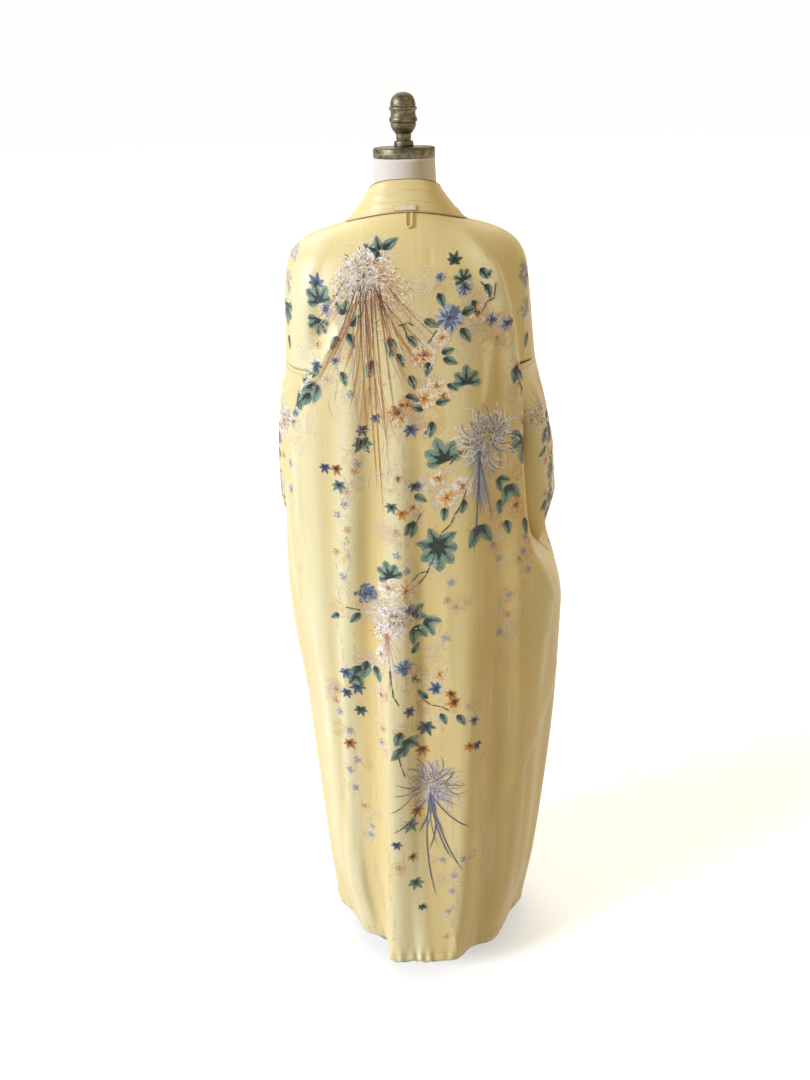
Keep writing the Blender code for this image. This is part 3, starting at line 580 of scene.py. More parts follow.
def running_length(points, axis=0):
    """The lengths of the steps along a path, or along each row of a grid, summed."""
    steps = np.linalg.norm(np.diff(points, axis=axis), axis=-1)
    return np.insert(np.cumsum(steps, axis=axis), 0, 0.0, axis=axis)


def hem_height(face, across):
    low = on_face(face, HEM_BACK, HEM_FRONT)
    return low + (HEM_SIDE - low) * ease(across / 2)


def half_panel(side, face, centre, beside):
    """Rows over the shoulder, then rows from the sleeve seams to the hem."""
    across = np.concatenate([np.linspace(0, 1, centre + 1), 1 + np.linspace(0, 1, beside + 1)[1:]])
    a, r = np.meshgrid(across, np.linspace(0, LAST_ROW, SHOULDER_ROWS))
    upper = np.stack(shoulder_point(side, face, a, r), axis=-1)
    a, s = np.meshgrid(across, np.linspace(0, 1, TRUNK_ROWS) ** ROWS_CROWD)
    top = ARMHOLE - SEAM_SINK * ease((a - 1) / SINK_BLEND)
    height = top + (hem_height(face, a) - top) * s
    lower = np.stack(trunk_point(side, face, a, height), axis=-1)
    return np.concatenate([upper, lower])


def panel(name, points, middle, turned, split=SHOULDER_ROWS):
    """u is the length along each row from the middle column, and v the length down it."""
    u, v = running_length(points, axis=1), running_length(points[:, middle])
    u = u - u[:, middle : middle + 1]
    return Panel(name, points, outward(points, split, turned), u, v, split, turned, 0 * u)


def each_row(v, like):
    """A value for each row, repeated across the columns."""
    return np.broadcast_to(v[:, None], like.shape)


def flat_vectors(made):
    """u, v and the lift of the folds, for each point."""
    return np.stack([made.u, each_row(made.v, made.u), made.lift], axis=-1)


def back_panel():
    left, right = half_panel(LEFT, BACK, 52, 22), half_panel(RIGHT, BACK, 52, 22)
    middle = right.shape[1] - 1
    return panel("kimono_back", np.concatenate([right[:, :0:-1], left], axis=1), middle, False)


def front_panel(side):
    points = half_panel(side, FRONT, 34, 16)
    return panel(on_side("kimono_front", side), points, 0, side == LEFT)


PANELS = {"back": back_panel(), "left": front_panel(LEFT), "right": front_panel(RIGHT)}
for key, made in PANELS.items():
    print(key, made.points.shape, "flat", np.ptp(made.u).round(3), "x", made.v[-1].round(3))

# %% [markdown]
# ## Listed folds
# The cloth hangs from the shoulder blades in soft pleats. Each ridge, hollow or level is one
# line down the flat cloth, with its place across at eight distances from the neck and its
# height there, both in millimetres. Between two lines the height blends with level ends, so a
# narrow step between a ridge and a hollow turns steep, as cloth does, and a wide one stays
# soft.

# %% Pleats of the back
Pleat = namedtuple("Pleat", "places heights")
LEVEL = (0,) * 8
SHOULDER_DOWN = (0.02, 0.07, 0.11, 0.15, 0.20, 0.25, 0.30, 0.38)
SHOULDER_PLEATS = table(
    Pleat,
    ((190, 205, 215, 220, 230, 240, 250, 260), LEVEL),
    ((110, 140, 156, 160, 164, 167, 170, 185), (0, 2, 4, 5, 5, 4, 2, 0)),
    ((98, 124, 140, 145, 149, 152, 154, 165), (0, 0, -1, -1, -1, -1, 0, 0)),
    ((60, 90, 100, 105, 110, 115, 120, 120), LEVEL),
    ((-50, -80, -100, -115, -125, -130, -135, -140), LEVEL),
    ((-80, -112, -140, -154, -170, -183, -194, -200), (0, 3, 6, 7, 7, 6, 4, 0)),
    ((-96, -130, -159, -174, -192, -204, -212, -220), (0, 0, -1, -1, -1, -1, 0, 0)),
    ((-130, -160, -190, -210, -222, -232, -238, -250), LEVEL),
)
PLEAT_DOWN = (0.12, 0.28, 0.45, 0.63, 0.82, 1.03, 1.28, 1.40)
BACK_PLEATS = table(
    Pleat,
    ((230, 240, 250, 255, 250, 240, 235, 235), LEVEL),
    ((165, 156, 168, 169, 170, 172, 200, 210), (0, 1, 2, 3, 2, 2, 1, 0)),
    ((140, 132, 140, 145, 150, 155, 180, 190), (0, 0, 0, 1, 1, 1, 0, 0)),
    ((96, 94, 102, 118, 133, 138, 158, 167), (0, 3, 5, 6, 6, 5, 4, 1)),
    ((67, 66, 70, 78, 90, 94, 100, 106), (0, -2, -4, -6, -6, -5, -4, 0)),
    ((22, 20, 20, 20, 22, 20, 14, 12), (0, 3, 6, 8, 8, 8, 7, 3)),
    ((-14, -14, -14, -12, -8, -12, -20, -22), (0, -2, -3, -3, -3, -2, -2, 0)),
    ((-80, -80, -79, -81, -79, -79, -70, -65), (0, 1, 0, 0, 0, 0, 0, 0)),
    ((-138, -143, -148, -153, -169, -180, -169, -165), (0, -4, -7, -8, -7, -6, -4, 0)),
    ((-170, -178, -186, -186, -200, -219, -210, -205), (0, -1, -3, -4, -4, -5, -3, 0)),
    ((-230, -240, -250, -255, -250, -245, -240, -240), LEVEL),
)
FRONT_DOWN = (0.16, 0.30, 0.45, 0.63, 0.82, 1.03, 1.25, 1.34)
FRONT_PLEATS = {
    "left": table(
        Pleat,
        ((15, 15, 18, 20, 20, 20, 18, 18), LEVEL),
        ((40, 46, 50, 52, 56, 58, 60, 60), (0, 2, 4, 5, 5, 4, 3, 1)),
        ((68, 72, 80, 84, 86, 90, 92, 92), (0, -2, -4, -5, -4, -3, -2, 0)),
        ((104, 110, 118, 122, 120, 126, 130, 130), (0, 2, 4, 4, 5, 4, 2, 0)),
        ((136, 142, 150, 152, 154, 152, 158, 160), (0, -1, -3, -4, -4, -4, -2, 0)),
        ((170, 176, 182, 186, 186, 190, 190, 190), (0, 1, 3, 3, 2, 2, 1, 0)),
        ((200, 204, 210, 214, 214, 214, 212, 212), LEVEL),
    ),
    "right": table(
        Pleat,
        ((15, 15, 18, 20, 20, 20, 18, 18), LEVEL),
        ((46, 50, 48, 44, 46, 44, 48, 50), (0, 1, 3, 4, 4, 3, 2, 0)),
        ((82, 78, 74, 70, 76, 78, 80, 82), (0, -1, -3, -5, -5, -4, -2, 0)),
        ((120, 114, 108, 102, 104, 108, 110, 112), (0, 2, 5, 6, 5, 4, 3, 1)),
        ((150, 144, 136, 132, 136, 138, 140, 142), (0, -1, -3, -4, -5, -4, -2, 0)),
        ((180, 178, 172, 168, 172, 174, 176, 178), (0, 1, 2, 3, 3, 2, 1, 0)),
        ((205, 206, 208, 208, 210, 212, 212, 212), LEVEL),
    ),
}


def metres(values):
    return np.array(values) / 1000


def pleat_lift(pleats, rows, u, v):
    """Each line's place and height at this distance down, then the height between the two
    lines that enclose u: level ends, so 3 times the square less twice the cube."""
    places = np.stack([np.interp(v, rows, metres(pleat.places)) for pleat in pleats])
    heights = np.stack([np.interp(v, rows, metres(pleat.heights)) for pleat in pleats])
    lift = np.zeros_like(u)
    for k in range(len(pleats) - 1):
        part = (places[k][:, None] - u) / (places[k] - places[k + 1])[:, None]
        low, high = heights[k][:, None], heights[k + 1][:, None]
        lift = np.where((part >= 0) & (part < 1), low + (high - low) * ease(part), lift)
    return lift

# %% [markdown]
# ## Listed creases
# Smaller creases lie over the pleats, each a line on the flat cloth with its own length,
# depth and bow. It lifts or sinks the cloth by a bell curve across the line, and fades at
# both ends. A crease with a hard side falls faster on one side of its line.

# %% Creases
Crease = namedtuple("Crease", "u v end_u end_v bend width rise hard")
CREASE_FADE, NECK_FADE = 0.25, 0.02
PUCKER_INSET, PUCKER_BAND, PUCKER_LIFT, PUCKER_RISE = 0.012, 0.045, 0.0019, 0.0030


def crease(u, v, end_u, end_v, bend, width, rise, hard):
    """Places are given in millimetres, and width and rise in tenths of one."""
    return Crease(*metres([u, v, end_u, end_v]), bend, width / 10000, rise / 10000, hard)


BACK_CREASES = table(
    crease,
    (120, 30, 262, 110, 0.1, 120, 22, 0), (85, 155, 235, 385, -0.06, 110, 32, 0.55),
    (203, 360, 201, 530, 0.03, 100, 26, 0.3), (232, 420, 222, 700, -0.02, 90, 20, 0.4),
    (-209, 160, -206, 300, 0.05, 60, 18, 0.5), (-134, 185, -121, 310, 0.06, 100, 24, 0.4),
    (-330, 790, -140, 1080, 0.1, 200, 24, 0.6), (-140, 1060, -138, 1250, 0.02, 140, 30, 0.5),
    (-222, 575, -275, 675, 0.08, 70, 24, 0.4), (-260, 640, -235, 860, 0.05, 140, 30, 0.2),
    (78, 1290, 72, 1395, 0.04, 70, 26, 0.5), (-60, 1310, -66, 1395, 0.04, 70, 24, 0.3),
    (-112, 1330, -106, 1395, 0.04, 60, 20, 0.3), (130, 1150, 150, 1380, 0.03, 120, 28, 0.4),
    (20, 300, -60, 420, 0.08, 100, 14, 0.2), (-50, 560, -58, 900, 0.02, 80, 12, 0.3),
    (-36, 55, -36, 85, 0, 50, -7, 0.3), (60, 640, 50, 980, 0.03, 80, 12, 0.3),
    (190, 640, 170, 960, 0.04, 120, 22, 0.3),
)
FRONT_CREASES = {
    "left": table(
        crease,
        (20, 100, 120, 220, 0.08, 120, 26, 0.4), (200, 240, 120, 420, -0.08, 100, 26, 0.4),
        (205, 300, 150, 560, -0.06, 120, 28, 0.4), (60, 300, 80, 560, 0.03, 80, 16, 0.3),
        (30, 560, 34, 900, 0.02, 70, 16, 0.3), (150, 760, 110, 1100, 0.04, 120, 22, 0.5),
        (60, 1080, 66, 1330, 0.02, 70, 22, 0.5), (140, 1180, 150, 1330, 0.02, 80, 22, 0.4),
    ),
    "right": table(
        crease,
        (22, 120, 130, 250, 0.1, 130, 24, 0.4), (205, 260, 100, 400, -0.1, 100, 30, 0.4),
        (208, 330, 140, 640, -0.05, 120, 26, 0.4), (90, 420, 76, 700, 0.03, 80, 16, 0.3),
        (34, 640, 30, 1000, 0.02, 70, 18, 0.3), (160, 700, 120, 1040, 0.05, 130, 24, 0.5),
        (80, 1120, 74, 1330, 0.02, 70, 20, 0.5), (176, 1160, 170, 1330, 0.02, 80, 22, 0.4),
    ),
}


def crease_lift(creases, u, v):
    """For each crease: the share along its line, and the distance from its bowed line."""
    lift = np.zeros_like(u)
    for line in creases:
        way = np.array([line.end_u - line.u, line.end_v - line.v])
        length = np.hypot(*way)
        du, dv = u - line.u, v - line.v
        share = (du * way[0] + dv * way[1]) / length**2
        off = (dv * way[0] - du * way[1]) / length - line.bend * length * share * (1 - share)
        width = line.width * np.where(off > 0, 1 - line.hard, 1)
        fade = ease(share / CREASE_FADE) * ease((1 - share) / CREASE_FADE)
        lift = lift + line.rise * fade * np.exp(-((off / width) ** 2))
    return lift


def hem_waves(u):
    """The puckers of a rolled hem: sines of unlike lengths along it, multiplied."""
    broad = np.sin(u * 290 + 1.5 * np.sin(u * 31)) * (0.55 + 0.45 * np.sin(u * 23 + 1))
    return broad + 0.5 * np.sin(u * 430)


def creased(made, tables, creases):
    """The panel moved along its normals, and its normals worked out again. In the last few
    centimetres the hem's puckers are added, and its edge rises and falls with them."""
    down = each_row(made.v, made.u)
    lift = crease_lift(creases, made.u, down) * ease(down / NECK_FADE)
    lift = lift + sum(pleat_lift(pleats, rows, made.u, made.v) for pleats, rows in tables)
    low, high = made.u.min(axis=1)[:, None], made.u.max(axis=1)[:, None]
    inside = ease(np.minimum(made.u - low, high - made.u) / PUCKER_INSET)
    wave = hem_waves(made.u) * ease((down - made.v[-1] + PUCKER_BAND) / PUCKER_BAND) * inside
    lift = lift + PUCKER_LIFT * wave
    points = made.points + made.normals * lift[..., None]
    points[..., 2] += PUCKER_RISE * wave
    return made._replace(points=points, normals=outward(points, made.split, made.turned), lift=lift)


BACK_TABLES = ((BACK_PLEATS, PLEAT_DOWN), (SHOULDER_PLEATS, SHOULDER_DOWN))
PANELS["back"] = creased(PANELS["back"], BACK_TABLES, BACK_CREASES)
for key, creases in FRONT_CREASES.items():
    PANELS[key] = creased(PANELS[key], ((FRONT_PLEATS[key], FRONT_DOWN),), creases)
print(len(BACK_CREASES), "creases on the back")

# %% [markdown]
# ## The silk
# Crepe silk is matt in the yarn and glossy over a fold: a soft broad highlight with a pale
# sheen at the edges. The dye is uneven, with faint streaks that run with the warp. The colour
# also follows the height of the folds: deeper in the hollows as painted shade, and paler on the
# crests as a painted highlight. All of it is worked out from the flat places, so that it stays
# on the cloth.

# %% Silk finish
# SILK_DEEP is uneven dye and also painted shade in the hollows; SILK_PALE is pale dye streaks and
# washes and also a painted highlight on the crests.
SILK_MID, SILK_PALE, SILK_DEEP = "e8daa0", "f5f2d8", "dabd76"
STREAK_TINT, STAIN = "dcd3c0", "cda862"
SHEEN = {"sheen_roughness": 0.35, "sheen_tint": (1.0, 0.95, 0.8, 1.0)}


def weave(finish, flat):
    """Fine thread relief: noise drawn out along the warp and along the weft, added."""
    warp = finish.noise(flat, (2400, 160, 1), 1)
    weft = finish.noise(flat, (160, 2400, 1), 1)
    slub = finish.noise(flat, (90, 700, 1), 2)
    finish.bump(warp * 0.5 + weft * 0.5 + slub * 0.6, 0.00015, 0.5)


def silk_finish():
    finish = Finish("gold_silk", sheen_weight=0.35, specular_ior_level=0.65, **SHEEN)
    flat = finish.attribute("flat")
    _, down, lift = finish.parts(flat)
    broad = finish.noise(flat, 6, 2)
    streak, run = finish.noise(flat, (120, 4, 1), 3), finish.noise(flat, (330, 9, 1), 2)
    # Painted shade: the lower the cloth lies in a hollow of the folds, the more its colour turns to
    # the deep gold.
    fold = lift.step(-0.006, 0.005)
    tone = finish.mix(SILK_DEEP, SILK_MID, fold * 0.75 + 0.45 * broad)
    # Pale dye streaks, and a painted highlight: the crests of the folds turn paler.
    pale = streak.step(0.50, 0.85) * 0.30 + 0.26 * fold.step(0.55, 1.0)
    tone = finish.mix(tone, SILK_PALE, pale)
    tone = finish.mix(tone, STREAK_TINT, streak.step(0.60, 0.76) * 0.30)
    soiled = 0.10 + 0.32 * down.step(0.45, 0.95)
    tone = finish.mix(tone, STAIN, run.step(0.52, 0.72) * soiled * broad.step(0.35, 0.60))
    finish.show(base_color=tone, roughness=0.49 - 0.08 * broad)
    weave(finish, flat)
    return finish.material


SILK = silk_finish()

# %% [markdown]
# ## Cloth from a panel
# The grid's points become a mesh. Two rows of points meet at the sleeve seams: up to the
# hanging fold they are one row, and past it the cloth is open. Solidify then gives the cloth
# its thickness on the inner side.

# %% Meshes of the panels
WELD = 0.0002


def numbered(shape):
    return np.arange(math.prod(shape)).reshape(shape)


def quads(index, turned=False):
    """The four corners of each cell in a grid of point numbers, or in many grids."""
    near, far = index[..., :-1, :], index[..., 1:, :]
    corners = (near[..., :-1], near[..., 1:], far[..., 1:], far[..., :-1])
    return np.stack(corners[::-1] if turned else corners, axis=-1)


def new_piece(name, points, faces, finish, node=None):
    mesh = bpy.data.meshes.new(name)
    mesh.from_pydata(points.reshape(-1, 3).tolist(), [], faces)
    mesh.materials.append(finish)
    mesh.shade_smooth()
    piece = bpy.data.objects.new(name, mesh)
    bpy.context.scene.collection.objects.link(piece)
    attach(piece, "root")
    if node:
        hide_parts(node)
    return piece


def add_vectors(piece, name, values):
    """A vector for each vertex, which a material reads by its name."""
    layer = piece.data.attributes.new(name, "FLOAT_VECTOR", "POINT")
    layer.data.foreach_set("vector", np.ascontiguousarray(values, np.float32).ravel())


def cloth(name, points, flat, faces, wall, node, finish=SILK):
    """A sheet with a thickness. Points that no face uses are left out."""
    used, faces = np.unique(faces, return_inverse=True)
    faces = faces.reshape(-1, 4).tolist()
    piece = new_piece(name, points.reshape(-1, 3)[used], faces, finish, node)
    add_vectors(piece, "flat", flat.reshape(-1, 3)[used])
    solid = piece.modifiers.new("wall", "SOLIDIFY")
    solid.thickness, solid.offset = wall, -1
    return piece


def flat_area(points):
    """Half the cross product of each quad's diagonals, summed."""
    first, second = points[1:, 1:] - points[:-1, :-1], points[1:, :-1] - points[:-1, 1:]
    return np.linalg.norm(np.cross(first, second), axis=-1).sum() / 2


def state_sheet(piece, width, length, points):
    """What the piece was cut to: its flat size, and its area measured on its points."""
    flat, area = (float(width), float(length)), flat_area(points)
    print(piece.name, "flat", round(width, 3), "x", round(length, 3), "area", round(area, 3))


def sew(made, node):
    """Weld the seam's two rows up to the hanging fold, and leave out their face row."""
    index, upper, lower = numbered(made.u.shape), made.split - 1, made.split
    faces = np.delete(quads(index, made.turned), upper, axis=0)
    target = index.ravel().copy()
    joined = np.linalg.norm(made.points[upper] - made.points[lower], axis=-1) < WELD
    target[index[lower][joined]] = index[upper][joined]
    piece = cloth(made.name, made.points, flat_vectors(made), target[faces], CLOTH, node)
    width, points = np.ptp(made.u, axis=1).max(), np.delete(made.points, upper, axis=0)
    state_sheet(piece, width, made.v[-1], points)


for key, node in (("back", "back"), ("left", "front_left"), ("right", "front_right")):
    sew(PANELS[key], node)

# %% [markdown]
# ## Sleeves
# A sleeve hangs flat below its seam: an outer layer, a fold on the outside and an inner
# layer that lies in the groove beside the robe. Its section is a smooth closed curve through
# eight corners, and the corners drift from the armhole to the cuff.

# %% Sleeve sizes
Sleeve = namedtuple("Sleeve", "part back_corner front_corner outer outer_deep ridge")
SLEEVES = {
    LEFT: table(
        Sleeve,
        (0, 0.082, 0.082, 0.187, 0.074, 0.204), (0.3, 0.05, 0.048, 0.198, 0.052, 0.219),
        (0.6, 0.036, 0.036, 0.208, 0.04, 0.228), (0.85, 0.03, 0.03, 0.217, 0.033, 0.2305),
        (1, 0.027, 0.027, 0.221, 0.028, 0.23),
    ),
    RIGHT: table(
        Sleeve,
        (0, 0.08, 0.08, 0.19, 0.072, 0.2085), (0.3, 0.066, 0.05, 0.206, 0.066, 0.227),
        (0.6, 0.064, 0.038, 0.218, 0.062, 0.242), (0.85, 0.066, 0.032, 0.226, 0.06, 0.249),
        (1, 0.068, 0.03, 0.23, 0.058, 0.252),
    ),
}
SLEEVE_CLEAR, TIP_CLEAR = 0.0055, 0.003
CUFF_RIDGE = 0.945
CUFF_INNER = {LEFT: 0.905, RIGHT: 0.872}
NEAR_SHARE, TIP_ACROSS, OUTER_ACROSS, HELD_PART = 0.55, 1.1, 1.5, 0.35
SEWN_FADE = 0.03
SLEEVE_ROWS, SLEEVE_COLUMNS, GROOVE_STEPS = 72, 128, 40


# %% Sleeves
def closed_spline(corners, count):
    """A Catmull-Rom curve through the corners: cubic blends of four neighbours."""
    number = corners.shape[1]
    place = np.arange(count) * number / count
    low = np.floor(place).astype(int)
    part = (place - low)[None, :, None]
    a, b, c, d = (corners[:, (low + k) % number] for k in (-1, 0, 1, 2))
    square, cube = 2 * a - 5 * b + 4 * c - d, 3 * b - a - 3 * c + d
    return 0.5 * (2 * b + (c - a) * part + square * part**2 + cube * part**3)


def groove_across(side, face, deep, height):
    """How far out the robe's side lies at a depth: its section is worked out at a few places
    for each height, and the place between the two that enclose the depth is blended."""
    across, level = np.meshgrid(np.linspace(1, 2, GROOVE_STEPS + 1), height)
    x, y, _ = trunk_point(side, face, across, level)
    x, y = np.abs(x), np.abs(y)
    rows = np.arange(len(height))
    low = np.clip((y > deep[:, None]).sum(axis=1) - 1, 0, GROOVE_STEPS - 1)
    span = y[rows, low + 1] - y[rows, low]
    share = np.clip((deep - y[rows, low]) / np.where(span == 0, 1, span), 0, 1)
    return x[rows, low] + (x[rows, low + 1] - x[rows, low]) * share


def sleeve_section(side, part):
    """The eight corners: inner layer, two tips in the groove, outer layer and outer fold."""
    fields = Sleeve._fields[1:]
    back, front, outer, deep, ridge = (column(SLEEVES[side], key, part) for key in fields)
    cuff = CUFF_INNER[side]
    middle = (CUFF_RIDGE + cuff) / 2
    height = ARMHOLE - SEAM_SINK + (cuff - ARMHOLE) * part
    held = 1 - ease(part / HELD_PART)
    flat = 0 * part

    def inner(face, reach, clear):
        return groove_across(side, face, reach, height) + clear

    def on_seam(face, across, own_x, own_y):
        x, y, _ = shoulder_point(side, face, across + flat, LAST_ROW + flat)
        return own_x + (np.abs(x) - own_x) * held, own_y + (np.abs(y) - own_y) * held

    rows = [(inner(BACK, flat, SLEEVE_CLEAR), flat, cuff, SEAM_SINK)]
    for face, corner in ((BACK, back), (FRONT, front)):
        reach = corner * NEAR_SHARE
        near = (inner(face, reach, SLEEVE_CLEAR), face * reach, cuff, SEAM_SINK)
        clear = inner(face, corner, SLEEVE_CLEAR + TIP_CLEAR)
        tip_x, tip_y = on_seam(face, TIP_ACROSS, clear, corner)
        outer_deep = deep * (1 if face == BACK else front / back)
        across, reach = on_seam(face, OUTER_ACROSS, outer, outer_deep)
        points = [near, (tip_x, face * tip_y, cuff, 0), (across, face * reach, middle, 0)]
        rows += points + [(ridge, flat, CUFF_RIDGE, 0)] if face == BACK else points[::-1]
    return rows


def sleeve_points(side):
    part = np.linspace(0, 1, SLEEVE_ROWS)
    top = ARMHOLE - SLEEVE_GAP
    corners = [
        np.stack([side * x, y, (top - down) + (low - top + down) * part], axis=-1)
        for x, y, low, down in sleeve_section(side, part)
    ]
    grid = closed_spline(np.stack(corners, axis=1), SLEEVE_COLUMNS)
    return np.concatenate([grid, grid[:, :1]], axis=1)


SLEEVE_CREASES = table(
    crease,
    (300, 20, 360, 200, 0.06, 100, 20, 0.3), (400, 0, 370, 260, 0.04, 80, 22, 0.4),
    (470, 30, 450, 220, -0.05, 90, 18, 0.3), (550, 10, 580, 240, 0.05, 90, 20, 0.4),
    (640, 50, 600, 260, 0.05, 100, 20, 0.3), (420, 180, 560, 270, 0.08, 80, 14, 0.3),
)


def make_sleeve(side):
    """Creases lie at shares of the way round, so one table serves both sleeves. The sewn
    top edge stays where it is."""
    name, node, turned = on_side("kimono_sleeve", side), on_side("sleeve", side), side == RIGHT
    made = panel(name, sleeve_points(side), 0, turned, split=0)
    whole = made.u.max()
    creases = [c._replace(u=c.u * whole, end_u=c.end_u * whole) for c in SLEEVE_CREASES]
    down = each_row(made.v, made.u)
    lift = crease_lift(creases, made.u, down) * ease(down / SEWN_FADE)
    points = made.points + made.normals * lift[..., None]
    points[:, -1] = points[:, 0]
    made = panel(name, points, 0, turned, split=0)
    index = numbered(made.u.shape)
    index[:, -1] = index[:, 0]
    piece = cloth(name, points, flat_vectors(made), quads(index, turned), CLOTH, node)
    state_sheet(piece, made.u.max(), made.v[-1], points)
    return made


SLEEVE_PANELS = {side: make_sleeve(side) for side in (LEFT, RIGHT)}

# %% [markdown]
# ## The collar band
# One long band stands round the back of the neck and runs down both front edges. It is
# folded double, so its shell is thicker. Its sewn edge follows the neck seam of the robe and
# its free edge has a table of its own, so a straight line from one to the other fills it.

# %% Collar sizes
Band = namedtuple("Band", "angle top_x top_y top_z")
NECK_BAND = table(
    Band,
    (0, 0, 0.057, 1.471), (26, 0.03, 0.053, 1.469), (51, 0.049, 0.037, 1.462),
    (72, 0.057, 0.012, 1.453), (88, 0.0585, -0.014, 1.44),
)
BAND_LIFT, BAND_WALL = 0.0008, 0.0024
FrontBand = namedtuple("FrontBand", "row top_x top_deep top_z")
FRONT_BAND = table(
    FrontBand,
    (0, 0.057, 0.034, 1.422), (1, 0.051, 0.061, 1.392), (2, 0.04, 0.1, 1.34),
    (3, 0.029, 0.1215, 1.298), (4, 0.02, 0.1345, 1.264), (5, 0.013, 0.1435, 1.237),
    (6, 0.008, 0.1482, 1.2125), (7, 0.0045, 0.1502, 1.19),
)
BAND_COLUMNS, SOFTEN_TIMES = 16, 60
COLLAR_CREASES = table(
    crease,
    (18, -70, 26, 10, 0.06, 30, 9, 0.3), (32, -60, 36, 30, -0.05, 28, 8, 0.3),
    (12, 5, 20, 70, 0.05, 26, 8, 0.3), (26, 20, 34, 85, 0.05, 30, 9, 0.3),
    (40, -20, 42, 40, 0.03, 24, 6, 0.3), (8, -100, 30, -150, 0.08, 40, 12, 0.4),
    (10, 110, 30, 160, 0.08, 40, 12, 0.4),
)


# %% Collar
def between(seam, top):
    share = np.linspace(0, 1, BAND_COLUMNS + 1)[None, :, None]
    return seam[:, None] + (top - seam)[:, None] * share


def band_half(side):
    """Round the neck by the angle, over the shoulder by the row, down the front by height."""
    first = SHOULDERS[0]
    angle = np.linspace(0, NECK_BAND[-1].angle, 61)
    turn = np.radians(angle)
    height = first.back_height + ease(angle / 90) * (first.ridge_height - first.back_height)
    ridge = getattr(first, on_side("ridge", side))
    seam = (side * ridge * np.sin(turn), first.back * np.cos(turn), height + BAND_LIFT)
    top = np.stack([column(NECK_BAND, key, angle) for key in Band._fields[1:]], axis=-1)
    neck = between(np.stack(seam, axis=-1), top * [side, 1, 1])
    row = np.linspace(0, LAST_ROW, 73)
    seam = np.stack(shoulder_point(side, FRONT, 0 * row, row), axis=-1) - [side * BAND_GAP, 0, 0]
    x, deep, level = (column(FRONT_BAND, key, row) for key in FrontBand._fields[1:])
    chest = between(seam, np.stack([side * x, -deep, level], axis=-1))
    level = np.linspace(ARMHOLE, HEM_FRONT, 160)[1:, None] + np.zeros((1, BAND_COLUMNS + 1))
    half, deep, square = trunk_section(side, FRONT, level)
    edge = column(FRONT_EDGE, "seam", level)
    x = edge + (OPENING - edge) * np.linspace(0, 1, BAND_COLUMNS + 1)
    x, y = arc_point(arc_angle(x, half, square), half, deep, square)
    x, y = relief(x, -y, half, deep, level, side)
    return np.concatenate([neck, chest, np.stack([side * x, y, level], axis=-1)])


def softened(points):
    """Each row moved towards the mean of its neighbours, more towards the free edge, and
    faint creases along the standing part."""
    share = np.linspace(0, 1, points.shape[1])[None, :, None]
    for _ in range(SOFTEN_TIMES):
        points[1:-1] += share * ((points[:-2] + points[2:]) / 2 - points[1:-1]) * 0.5
    out = slopes(points)
    out *= np.sign(out[len(points) // 2, 0, 1])
    across = np.linalg.norm(points - points[:, :1], axis=-1)
    along = running_length(points[:, 0])
    lift = crease_lift(COLLAR_CREASES, across, each_row(along - along[len(points) // 2], across))
    return points + out * lift[..., None]


def make_collar():
    left, right = band_half(LEFT), band_half(RIGHT)
    points = softened(np.concatenate([right[::-1], left[1:]]))
    along, across = running_length(points[:, 0]), np.linalg.norm(points - points[:, :1], axis=-1)
    flat = np.stack([across, each_row(along, across), 0 * across], axis=-1)
    faces = quads(numbered(across.shape))
    piece = cloth("kimono_collar", points, flat, faces, BAND_WALL, "collar")
    state_sheet(piece, across[:, -1].max(), along[-1], points)
    return points


COLLAR = make_collar()

# %% [markdown]
# ## Painted flowers
# The silk was dyed and then painted by hand: chrysanthemums with long curled petals, smaller
# blossoms, lobed leaves and twigs. Each brush stroke becomes one narrow strip of faces that
# lies a third of a millimetre off the cloth. A stroke has a start, a heading and a turn on
# the flat cloth, a width, and the colours at its root, its tip and its edge. Strips bend with
# every fold, stay sharp from close by, and need no picture file.

# %% Colours and forms of the strokes
PALETTE = {
    "ink": "2b2827", "brown": "6e4a30", "rust": "b9743f", "orange": "e6a044",
    "apricot": "efc48a", "cream": "f8ecd0", "white": "fbf6ea", "blush": "e8d2c2",
    "lavender": "c8bfcc", "slate": "687189", "navy": "333e5e", "blue": "647ba8",
    "sky": "b4c2d6", "forest": "223c37", "leaf": "4c6d61", "teal": "85a08e", "mist": "b4c4ae",
}
INK = {name: k for k, name in enumerate(PALETTE)}
DYES = np.array([linear(code) for code in PALETTE.values()])
FORMS = ("line", "petal", "leaf", "disc")
STROKE = "u v heading length turn power width form root tip edge level".split()
LIFT, LEVEL_STEP, ORDER_STEP, ORDER_ROUND = 0.00030, 0.00010, 0.0000006, 300
CANVAS = []
rng = np.random.default_rng(11)


def strokes(u, v, heading, length, width, form, inks, level=0, turn=0, power=1):
    """Adds one row for each stroke to the canvas, from sizes in millimetres, the inks of its
    root, tip and edge, and the level that it lies at. A heading of 0 points to the right as
    seen from behind, and 90 points down. It changes by turn times the share of the length to
    a power."""
    inks = inks.split()
    tints = (INK[inks[0]], INK[inks[1]], INK[inks[-1]])
    size = (length / 1000, turn, power, width / 1000)
    values = (u / 1000, v / 1000, heading, *size, FORMS.index(form), *tints, level)
    rows = np.stack(np.broadcast_arrays(*values), axis=-1)
    CANVAS.append(rows.astype(float).reshape(-1, len(STROKE)))


def painted():
    """The strokes on the canvas, which is empty again after that."""
    rows = np.concatenate(CANVAS)
    CANVAS.clear()
    return rows


def away(u, v, heading, reach):
    """The place at a reach from another, along a heading."""
    angle = np.radians(heading)
    return u - reach * np.cos(angle), v + reach * np.sin(angle)


def bearing(du, dv):
    return np.degrees(np.arctan2(dv, -du))


def in_turn(tints, *columns):
    """The strokes dealt out to the tints, one after another."""
    for k, tint in enumerate(tints):
        yield tint, *(column[k :: len(tints)] for column in columns)


print(len(PALETTE), "colours")

# %% Motifs
FADED = {"leaf": "teal", "teal": "mist", "orange": "apricot", "apricot": "cream"}
SPECK_INKS = ("blush white", "lavender white", "ink slate", "apricot cream", "sky white")


